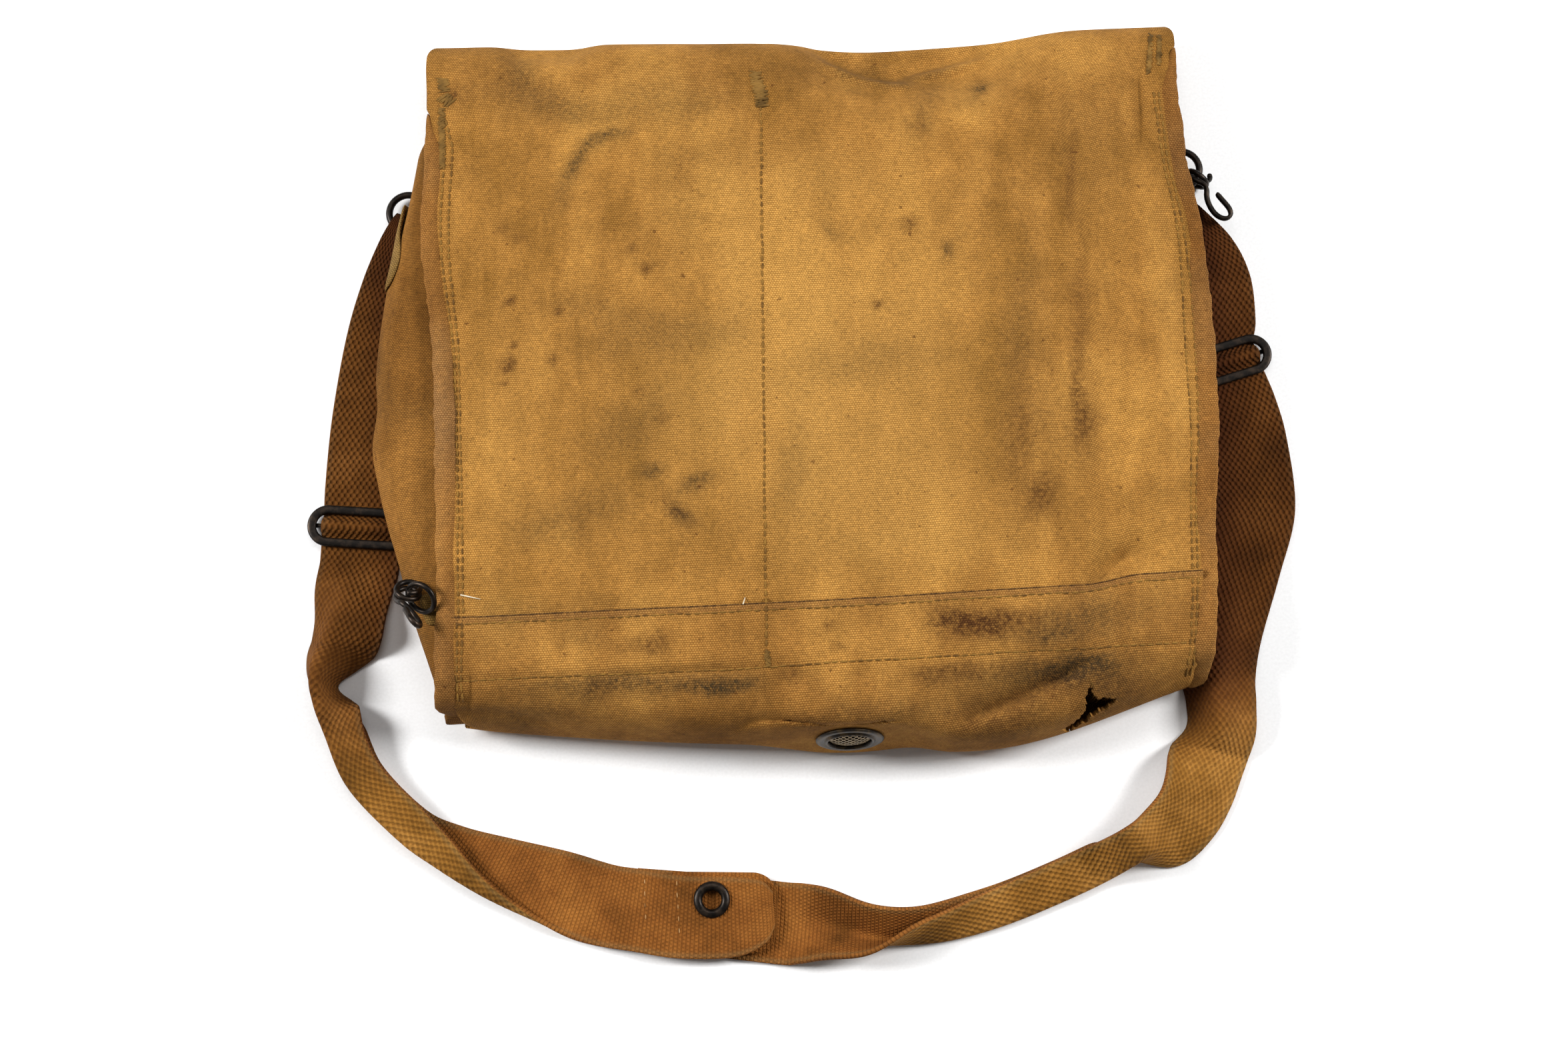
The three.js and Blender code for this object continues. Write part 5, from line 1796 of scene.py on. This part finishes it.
    def build_welt(self, side: int, name: str, rim: float) -> None:
        """Makes one rolled seam, closed at both ends.

        Args:
            side: -1 for left, 1 for right.
            name: The side's name.
            rim: Where the bag's bottom lies at that side.
        """
        levels = np.linspace(WELT_TOPS[side], rim + WELT_ENDS[side], self.welt_rows)
        mesh, _ = cloth_grid(self.welt(side), np.linspace(0, 1, 31), levels)
        with edited(mesh) as shape:
            bmesh.ops.remove_doubles(shape, verts=shape.verts, dist=0.005 * MM)
            bmesh.ops.holes_fill(shape, edges=shape.edges, sides=0)
            bmesh.ops.recalc_face_normals(shape, faces=shape.faces)
        spots = corners_of(mesh)
        patch = smoothstep(cloud(spots[:, 1], spots[:, 1] * 0, 18, 53 + side), -0.2, 0.8)
        grime_and_shade, rust, pale = soil_and_shade(spots)
        grey = 0.45 * np.exp(-(((spots[:, 1] - 40) / 28) ** 2)) if side < 0 else 0.0
        marked(mesh, grime_and_shade + 0.2 * patch, rust + 0.16 * (1 - patch), 0.3 * pale, 0.1 * patch + grey)
        linked(f"{name}_welt_cloth", mesh, materials.welt, (f"{name}_welt",))


@dataclass
class Sling:
    """The two lengths of webbing, each creased lengthwise, and the double tab with its eyelet."""

    eyelet_x: float = -34.3
    eyelet_y: float = -150.5
    eyelet_cut: float = 5.1
    widths: int = 44
    steps: int = 13  # mesh rows from one section to the next
    samples: int = 257  # points at which a section is worked out

    def web(self, rows: Sequence[WebRow]) -> Surface:
        """One length of webbing as a surface: across in millimetres of its width, along in rows.

        Args:
            rows: The web's sections.

        Returns:
            The web's surface.
        """
        table = SmoothTable(rows, None)

        def surface(across: Array, along: Array) -> Array:
            """Lays out the sections, each walked from its crease outwards.

            Args:
                across: Places across the web.
                along: Places along it from 0 to 1.

            Returns:
                The points, across by along.
            """
            sections = []
            fine = np.linspace(0, WEB_WIDTH, self.samples)
            for place in along * (len(rows) - 1):
                at = table(place)
                opening = math.radians(at.second - at.first + 180)
                bend = max(float(at.soft), abs(opening) * 0.75)
                past = smoothstep(fine, at.lead - bend, at.lead + bend)
                angle = math.radians(at.first - 180) + opening * past
                runs = []
                for slope in (np.cos(angle), np.sin(angle)):
                    run = np.concatenate([[0], np.cumsum((slope[1:] + slope[:-1]) / 2 * fine[1])])
                    runs.append((run - np.interp(at.lead, fine, run)) * at.gather)
                aside, above = runs
                lift = max(float(at.lift), 0.0) + WEB / 2 - above.min()
                heading = math.radians(at.heading)
                out = np.interp(across, fine, aside)
                sections.append(np.column_stack([
                    at.x - math.sin(heading) * out,
                    at.y + math.cos(heading) * out,
                    lift + np.interp(across, fine, above),
                ]))
            return np.stack(sections, axis=1)

        return surface

    def build(self) -> None:
        """Makes both lengths and the tab's second ply."""
        for rows, name in ((STRAP_LEFT, "strap_left"), (STRAP_RIGHT, "strap_right")):
            across = np.linspace(0, WEB_WIDTH, self.widths + 1)
            along = np.linspace(0, 1, self.steps * (len(rows) - 1) + 1)
            mesh, points = cloth_grid(self.web(rows), across, along)
            self.mark_edges(mesh)
            if name == "strap_left":
                self.open_eyelet(mesh)
            piece = linked(f"{name}_webbing", mesh, materials.ribs, (name,))
            piece.data.materials.append(materials.bumps)
            if name == "strap_left":
                self.skin = Skin((piece,), WEB / 2)
            thickened(piece, WEB, 1)
        self.build_backing()

    @staticmethod
    def mark_edges(mesh: bpy.types.Mesh) -> None:
        """Makes the woven edges of a web paler, and paints the bag's shadow on the web beside it.

        Args:
            mesh: The web's mesh.
        """
        place = np.zeros(len(mesh.vertices))
        corners = values_of(mesh.loops, "vertex_index", 1, int)[:, 0]
        place[corners] = values_of(mesh.uv_layers["cut"].data, "uv", 2)[:, 0] / MM
        edge = np.exp(-(((place - 1.0) / 0.8) ** 2)) + np.exp(-(((place.max() - 1.0 - place) / 0.8) ** 2))
        x, y, _ = corners_of(mesh).T
        # painted shadow of the bag: darker along the upper stretches, most of all close beside the bag
        beside = np.where(x < 0, edge_x(-1, y) - 12 - x, x - edge_x(1, y))
        close = 1 - smoothstep(beside, 2, 30)
        shade_beside_bag = np.where(x < 0, 0.45 + 0.35 * close, 0.58 + 0.3 * close) * smoothstep(y, -110, -62)
        marked(mesh, shade_beside_bag, 0, 0.3 * edge)

    def open_eyelet(self, mesh: bpy.types.Mesh) -> None:
        """Cuts the eyelet's hole into the tab.

        Args:
            mesh: The web's mesh.
        """
        with edited(mesh) as shape:
            spots = face_middles(shape)
            away = np.linalg.norm(spots[:, :2] - np.array((self.eyelet_x, self.eyelet_y)), axis=1)
            cut_away(shape, (away < self.eyelet_cut) & (spots[:, 2] > 3))
        mesh.shade_smooth()

    def build_backing(self) -> None:
        """Makes the tab's second ply, a short web with a rounded end."""
        left, right, low, high, corner = -50.0, -8.6, -171.0, -139.5, 10.0
        wall = 1.6
        level = 2.15 + wall / 2
        turn = math.radians(-3)

        def surface(across: Array, along: Array) -> Array:
            """A flat strip whose end narrows on two rounded corners.

            Args:
                across: Places across the strip from 0 to 1.
                along: Values of x.

            Returns:
                The points, across by along.
            """
            x = np.broadcast_to(along[None, :], (len(across), len(along)))
            over = np.clip((x - (right - corner)) / corner, 0, 1)
            half = (high - low) / 2 - corner + corner * np.sqrt(np.maximum(1 - over**2, 0.02))
            y = (high + low) / 2 + (across[:, None] * 2 - 1) * half
            dx, dy = x - self.eyelet_x, y - self.eyelet_y
            return np.stack([
                self.eyelet_x + dx * math.cos(turn) - dy * math.sin(turn),
                self.eyelet_y + dx * math.sin(turn) + dy * math.cos(turn),
                np.full(x.shape, level),
            ], axis=2)

        mesh, _ = cloth_grid(surface, np.linspace(0, 1, 33), np.linspace(left, right, 43))
        marked(mesh)
        piece = linked("tab_backing_webbing", mesh, materials.ribs, ("tab_backing",))
        thickened(piece, wall)


@dataclass
class Hardware:
    """Rings, hooks, slides, the tab's eyelet and the vent, all of brass."""

    body: BagBody
    sling: Sling
    slide_length: float = 44.0
    slide_height: float = 17.0
    slide_bar: float = 1.8
    slide_thickness: float = 2.0
    slide_level: float = 3.4
    rod: float = 1.0
    rod_level: float = 2.3
    eyelet_outer: float = 7.15
    eyelet_bore: float = 3.7
    eyelet_barrel: float = 4.7
    tab_top: float = 6.0
    flange_outer: float = 13.3
    flange_inner: float = 8.6
    mesh_radius: float = 8.2
    mesh_dome: float = 1.4
    mesh_level: float = 1.3
    mesh_wall: float = 0.25
    hole_pitch: float = 1.75  # spacing of the mesh's holes, across their diagonal rows
    hole_rim: float = 0.2  # half the bar between two holes

    def build(self) -> None:
        """Makes every metal piece."""
        for name, swell in (
            ("left_strap_ring", 0.16), ("right_strap_ring", 0.16), ("lower_left_ring", 0.12),
            ("right_hook", 0.14), ("lower_left_hook", 0.14),
        ):
            rounded(linked(f"{name}_wire", refined(name, swell), materials.black, (name,)))
        for name in ("left_ring_chape", "right_ring_chape", "lower_left_chape"):
            mesh = refined(name, 0.1)
            spots = corners_of(mesh)
            patch = smoothstep(cloud(spots[:, 0], spots[:, 1], 7, 61), -0.4, 0.7)
            marked(mesh, 0.3 * patch, 0.2 * (1 - patch))
            rounded(linked(f"{name}_cloth", mesh, materials.chape, (name,)))
        self.build_slide("left_slide", -170.5, 4.4, -6)
        self.build_slide("right_slide", 180.3, 57.7, 15)
        self.build_eyelet()
        self.build_vent()

    def build_slide(self, name: str, x: float, y: float, turn: float) -> None:
        """Makes an oval slide: a flat-faced wire frame with a thinner bar across its middle.

        Args:
            name: The solid's name.
            x: Its middle's x.
            y: Its middle's y.
            turn: Its turn in degrees.
        """
        bar, thick = self.slide_bar, self.slide_thickness / 2
        centre = self.slide_height / 2 - bar
        angles = [math.tau * k / 16 for k in range(16)]
        section = [(
            centre + bar * math.copysign(abs(math.cos(a)) ** 0.6, math.cos(a)),
            thick * math.copysign(abs(math.sin(a)) ** 0.6, math.sin(a)),
        ) for a in angles]
        shape = turned(section, 64)
        half = (self.slide_length - self.slide_height) / 2 * MM
        for corner in shape.verts:
            if abs(corner.co.x) > 0.01 * MM:
                corner.co.x += math.copysign(half, corner.co.x)
        bmesh.ops.create_cone(
            shape, cap_ends=True, segments=16, radius1=self.rod * MM, radius2=self.rod * MM,
            depth=(self.slide_length - 2 * bar) * MM,
            matrix=Matrix.Translation((0, 0, (self.rod_level - self.slide_level) * MM))
            @ Matrix.Rotation(math.pi / 2, 4, "Y"),
        )
        place = Matrix.Translation(placed(np.array((x, y, self.slide_level))))
        facing = Matrix.Rotation(math.radians(turn), 4, "Z")
        bmesh.ops.transform(shape, matrix=place @ facing, verts=shape.verts)
        linked(f"{name}_frame", finished(shape, name), materials.black, (name,))

    def build_eyelet(self) -> None:
        """Makes the tab's eyelet: a rolled flange on a barrel."""
        outer, bore, barrel, top = self.eyelet_outer, self.eyelet_bore, self.eyelet_barrel, self.tab_top
        shape = turned((
            (bore, 2.2), (barrel, 2.2), (barrel, top + 0.3), (outer - 0.2, top + 0.3), (outer, top + 0.5),
            (outer - 0.1, top + 0.9), (outer - 0.7, top + 1.35), (outer - 1.5, top + 1.6),
            (outer - 2.2, top + 1.62), (bore + 0.8, top + 1.4), (bore + 0.25, top + 1.0), (bore, top + 0.4),
        ), 64)
        place = Matrix.Translation(placed(np.array((self.sling.eyelet_x, self.sling.eyelet_y, 0.0))))
        bmesh.ops.transform(shape, matrix=place, verts=shape.verts)
        mesh = finished(shape, "tab_eyelet")
        linked("tab_eyelet_brass", mesh, materials.black, ("tab_eyelet",))

    def facing_vent(self, shape: BMesh) -> None:
        """Turns a shape about Z to face out of the bag at the vent.

        Args:
            shape: The shape, changed in place.
        """
        turn = Vector((0, 0, 1)).rotation_difference(Vector(self.body.vent_normal)).to_matrix().to_4x4()
        place = Matrix.Translation(placed(self.body.vent_centre))
        bmesh.ops.transform(shape, matrix=place @ turn, verts=shape.verts)

    def build_vent(self) -> None:
        """Makes the vent: a dished flange round a pierced dome."""
        base = CANVAS / 2 + 0.3
        outer, inner, cut = self.flange_outer, self.flange_inner, self.body.vent_cut - 0.3
        shape = turned((
            (inner, -2.4), (cut, -2.4), (cut, base), (outer - 0.3, base), (outer, base + 0.3),
            (outer - 0.1, base + 0.7), (outer - 0.8, base + 1.1), (outer - 1.8, base + 1.2),
            (outer - 2.9, base + 0.9), (inner + 1.3, base + 0.8), (inner + 1.1, base + 1.3),
            (inner + 0.7, base + 1.75), (inner + 0.2, base + 1.7), (inner - 0.2, base + 1.1),
            (inner - 0.1, base + 0.3),
        ), 72)
        self.facing_vent(shape)
        mesh = finished(shape, "vent_flange")
        linked("vent_flange_brass", mesh, materials.vent, ("vent_flange",))
        count = 2 * int(self.mesh_radius / self.hole_pitch) + 2
        shape = bmesh.new()
        half = self.hole_pitch * count / 2 * MM
        bmesh.ops.create_grid(shape, x_segments=count, y_segments=count, size=half,
                              matrix=Matrix.Rotation(math.radians(45), 4, "Z"))
        pierced = (self.mesh_radius - 1.2) * MM
        whole = [face for face in shape.faces if face.calc_center_median().length < pierced]
        bmesh.ops.inset_individual(shape, faces=whole, thickness=self.hole_rim * MM)
        bmesh.ops.delete(shape, geom=whole, context="FACES_ONLY")
        beyond = [face for face in shape.faces if face.calc_center_median().length > self.mesh_radius * MM]
        bmesh.ops.delete(shape, geom=beyond, context="FACES")
        for corner in shape.verts:
            away = min(corner.co.length / (self.mesh_radius * MM), 1.2)
            corner.co.z = (self.mesh_level + self.mesh_dome * (1 - away * away)) * MM
        self.facing_vent(shape)
        mesh = finished(shape, "vent_mesh")
        piece = linked("vent_mesh_brass", mesh, materials.mesh, ("vent_mesh",))
        thickened(piece, self.mesh_wall)
        rounded(piece)


@dataclass
class Fray:
    """Loose threads: pale ends on the cloth and the frayed edge of the tear."""

    skin: Skin
    seed: int = 17
    count: int = 70  # threads round the tear
    aim: tuple[int, int] = (1392, 900)  # the place in the tear that they point to
    tear_level: float = 30.0
    pale_level: float = 38.0
    pale_ends: tuple[tuple[float, ...], ...] = ((600, 761, 8, -15), (950, 772, 3, 75))  # place, length, turn

    def build(self) -> None:
        """Makes the pale threads one piece and the khaki ones another."""
        random = np.random.default_rng(self.seed)
        pale, khaki = bmesh.new(), bmesh.new()
        for u, v, length, turn in self.pale_ends:
            self.thread(pale, LENS.plan(u, v, self.pale_level), length, turn, 0.3)
        corners = np.array([(point.u, point.v) for point in TEAR_OUTLINE])
        for step in range(self.count):
            share = step / self.count * len(corners)
            low = int(share)
            spot = corners[low] + (corners[(low + 1) % len(corners)] - corners[low]) * (share - low)
            inward = np.array(self.aim) - spot + random.uniform(-12, 12, 2)
            turn = math.degrees(math.atan2(-inward[1], inward[0]))
            length = random.uniform(1.0, 2.6)
            place = LENS.plan(*(spot - 1.5 * inward / np.linalg.norm(inward)), self.tear_level)
            self.thread(khaki, place, length, turn, 0.11)
        linked("pale_threads", finished(pale, "pale_threads"), materials.pale)
        linked("frayed_threads", finished(khaki, "frayed_threads"), materials.thread)

    def thread(self, shape: BMesh, spot: Array, length: float, turn: float, radius: float) -> None:
        """Lays one thread end on the cloth.

        Args:
            shape: The bmesh that takes it.
            spot: Plan position of its middle.
            length: Its length.
            turn: Its direction in degrees.
            radius: Half its thickness.
        """
        run = np.array((math.cos(math.radians(turn)), math.sin(math.radians(turn)))) * length / 2
        found = [self.skin.drop(*(spot + end * run)) for end in (-1, 1)]
        if not all(found):
            return
        start, end = (point + normal * radius * MM for point, normal in found)
        way = (end - start).to_track_quat("Z", "Y").to_matrix().to_4x4()
        bmesh.ops.create_cone(
            shape, cap_ends=True, segments=6, radius1=radius * MM, radius2=0.6 * radius * MM,
            depth=(end - start).length, matrix=Matrix.Translation((start + end) / 2) @ way,
        )


# Bar tacks and the tab's rows, from one place read off the picture to another, and the tacks' width in mm
TAB_ROWS = ((822, 1122, 824, 1190), (863, 1124, 868, 1206))
TACKS = (
    (563, 95, 565, 114, 4.6), (562, 120, 576, 130, 5.0), (563, 136, 564, 214, 2.6),
    (964, 97, 968, 124, 5.0), (970, 120, 973, 146, 5.6), (1471, 36, 1466, 90, 1.8),
    (1482, 36, 1480, 78, 1.8), (979, 842, 981, 860, 2.0),
)


@dataclass
class Sewing:
    """All rows of stitches on the bag and the sling's tab."""

    body: BagBody
    sling: Sling
    tack_level: float = 28.0
    tab_level: float = 6.0

    def build(self) -> None:
        """Sews the side seams, the middle, the lap, the bar tacks and the tab."""
        skin = self.body.skin
        sewn, tacks = Stitching(), Stitching(pitch=2.4)
        levels = np.linspace(168, -74, 60)
        for side, first, second in ((-1, 2.7, 4.6), (1, 2.0, 4.0)):
            wide = 1.4 * smoothstep(levels, 60, 130)
            if side > 0:
                wide = 2.2 * np.exp(-(((levels - 55) / 45) ** 2))
            edge = edge_x(side, levels)
            for inset in (first, second + wide):
                sewn.row(skin, list(zip(edge - side * inset, levels)))
        middle = np.linspace(172, -66, 40)
        sewn.row(skin, [(float(self.body.middle_x(y)), y) for y in middle])
        shares = np.linspace(-0.985, 0.985, 60)
        for inset in (3.0, LAP - 0.5):
            route = []
            for share in shares:
                lift = lap_climb(share) if inset < LAP / 2 else 0.0
                y = float(SECTION_AT(share).lap_y) - inset + lift
                route.append((float(self.body.across_x(np.array(share), np.array(y), np.array(0.0))), y))
            sewn.row(skin, route)
        for u, v, s, t, width in TACKS:
            tacks.tack(skin, *(tuple(LENS.plan(*spot, self.tack_level)) for spot in ((u, v), (s, t))), width)
        tab = Stitching(pitch=4.6, thread=0.24)
        for u, v, s, t in TAB_ROWS:
            ends = [tuple(LENS.plan(*spot, self.tab_level)) for spot in ((u, v), (s, t))]
            tab.row(self.sling.skin, ends, 0.36)
        tab.build("tab_stitches", "webbing", materials.tab)
        sewn.build("seam_stitches", "canvas", materials.thread)
        tacks.build("bar_tacks", "canvas", materials.tack)


@dataclass(frozen=True)
class Softbox:
    """A soft light that faces the bag: its place and size in metres, and its power."""

    name: str
    place: tuple[float, float, float]
    size: float
    watts: float


SOFTBOXES = rows_of(Softbox, (
    ("left_softbox", (-1.5, 0.3, 1.15), 0.6, 40), ("right_softbox", (1.5, 0.3, 1.15), 0.6, 37),
    ("top_softbox", (0, 0.9, 1.9), 1.0, 8),
))


class Studio:
    """The pale floor, the soft lights and the camera."""

    def build(self) -> None:
        """Makes the stage."""
        shape = bmesh.new()
        bmesh.ops.create_grid(shape, x_segments=8, y_segments=8, size=3.0)
        floor = bpy.data.objects.new("studio_floor", finished(shape, "studio_floor"))
        bpy.context.collection.objects.link(floor)
        paint = Paint("white_paper")
        fibre = paint.node("TexNoise", {"Scale": 900.0, "Detail": 2.0, "Vector": paint.body})
        stops = ((0.3, "#f6f6f6"), (0.7, "#fdfdfd"))
        floor.data.materials.append(paint.finish({
            "Base Color": paint.node("ValToRGB", {"Fac": fibre, "stops": stops}),
            "Roughness": 0.9, "Specular IOR Level": 0.1,
        }))
        for box in SOFTBOXES:
            data = bpy.data.lights.new(box.name, "AREA")
            data.energy, data.size = box.watts, box.size
            light = bpy.data.objects.new(box.name, data)
            light.location = box.place
            light.rotation_euler = (-Vector(box.place)).to_track_quat("-Z", "Y").to_euler()
            bpy.context.collection.objects.link(light)
        world = bpy.data.worlds.new("studio")
        world.use_nodes = True
        back = world.node_tree.nodes["Background"]
        back.inputs["Color"].default_value = (1, 1, 1, 1)
        back.inputs["Strength"].default_value = 0.14
        bpy.context.scene.world = world
        bpy.context.scene.view_settings.view_transform = "Standard"
        LENS.camera()


def main() -> None:
    """Builds the bag, its sling, its metal and the stage."""
    logging.basicConfig(level=logging.INFO, format="%(relativeCreated)6d ms %(message)s")
    Studio().build()
    for name, finish in FINISHES.items():
        setattr(materials, name, finish.material())
    sling = Sling()
    sling.build()
    body = BagBody()
    body.build()
    SideWalls(body).build()
    Hardware(body, sling).build()
    Sewing(body, sling).build()
    Fray(body.skin).build()


if __name__ == "__main__":
    main()
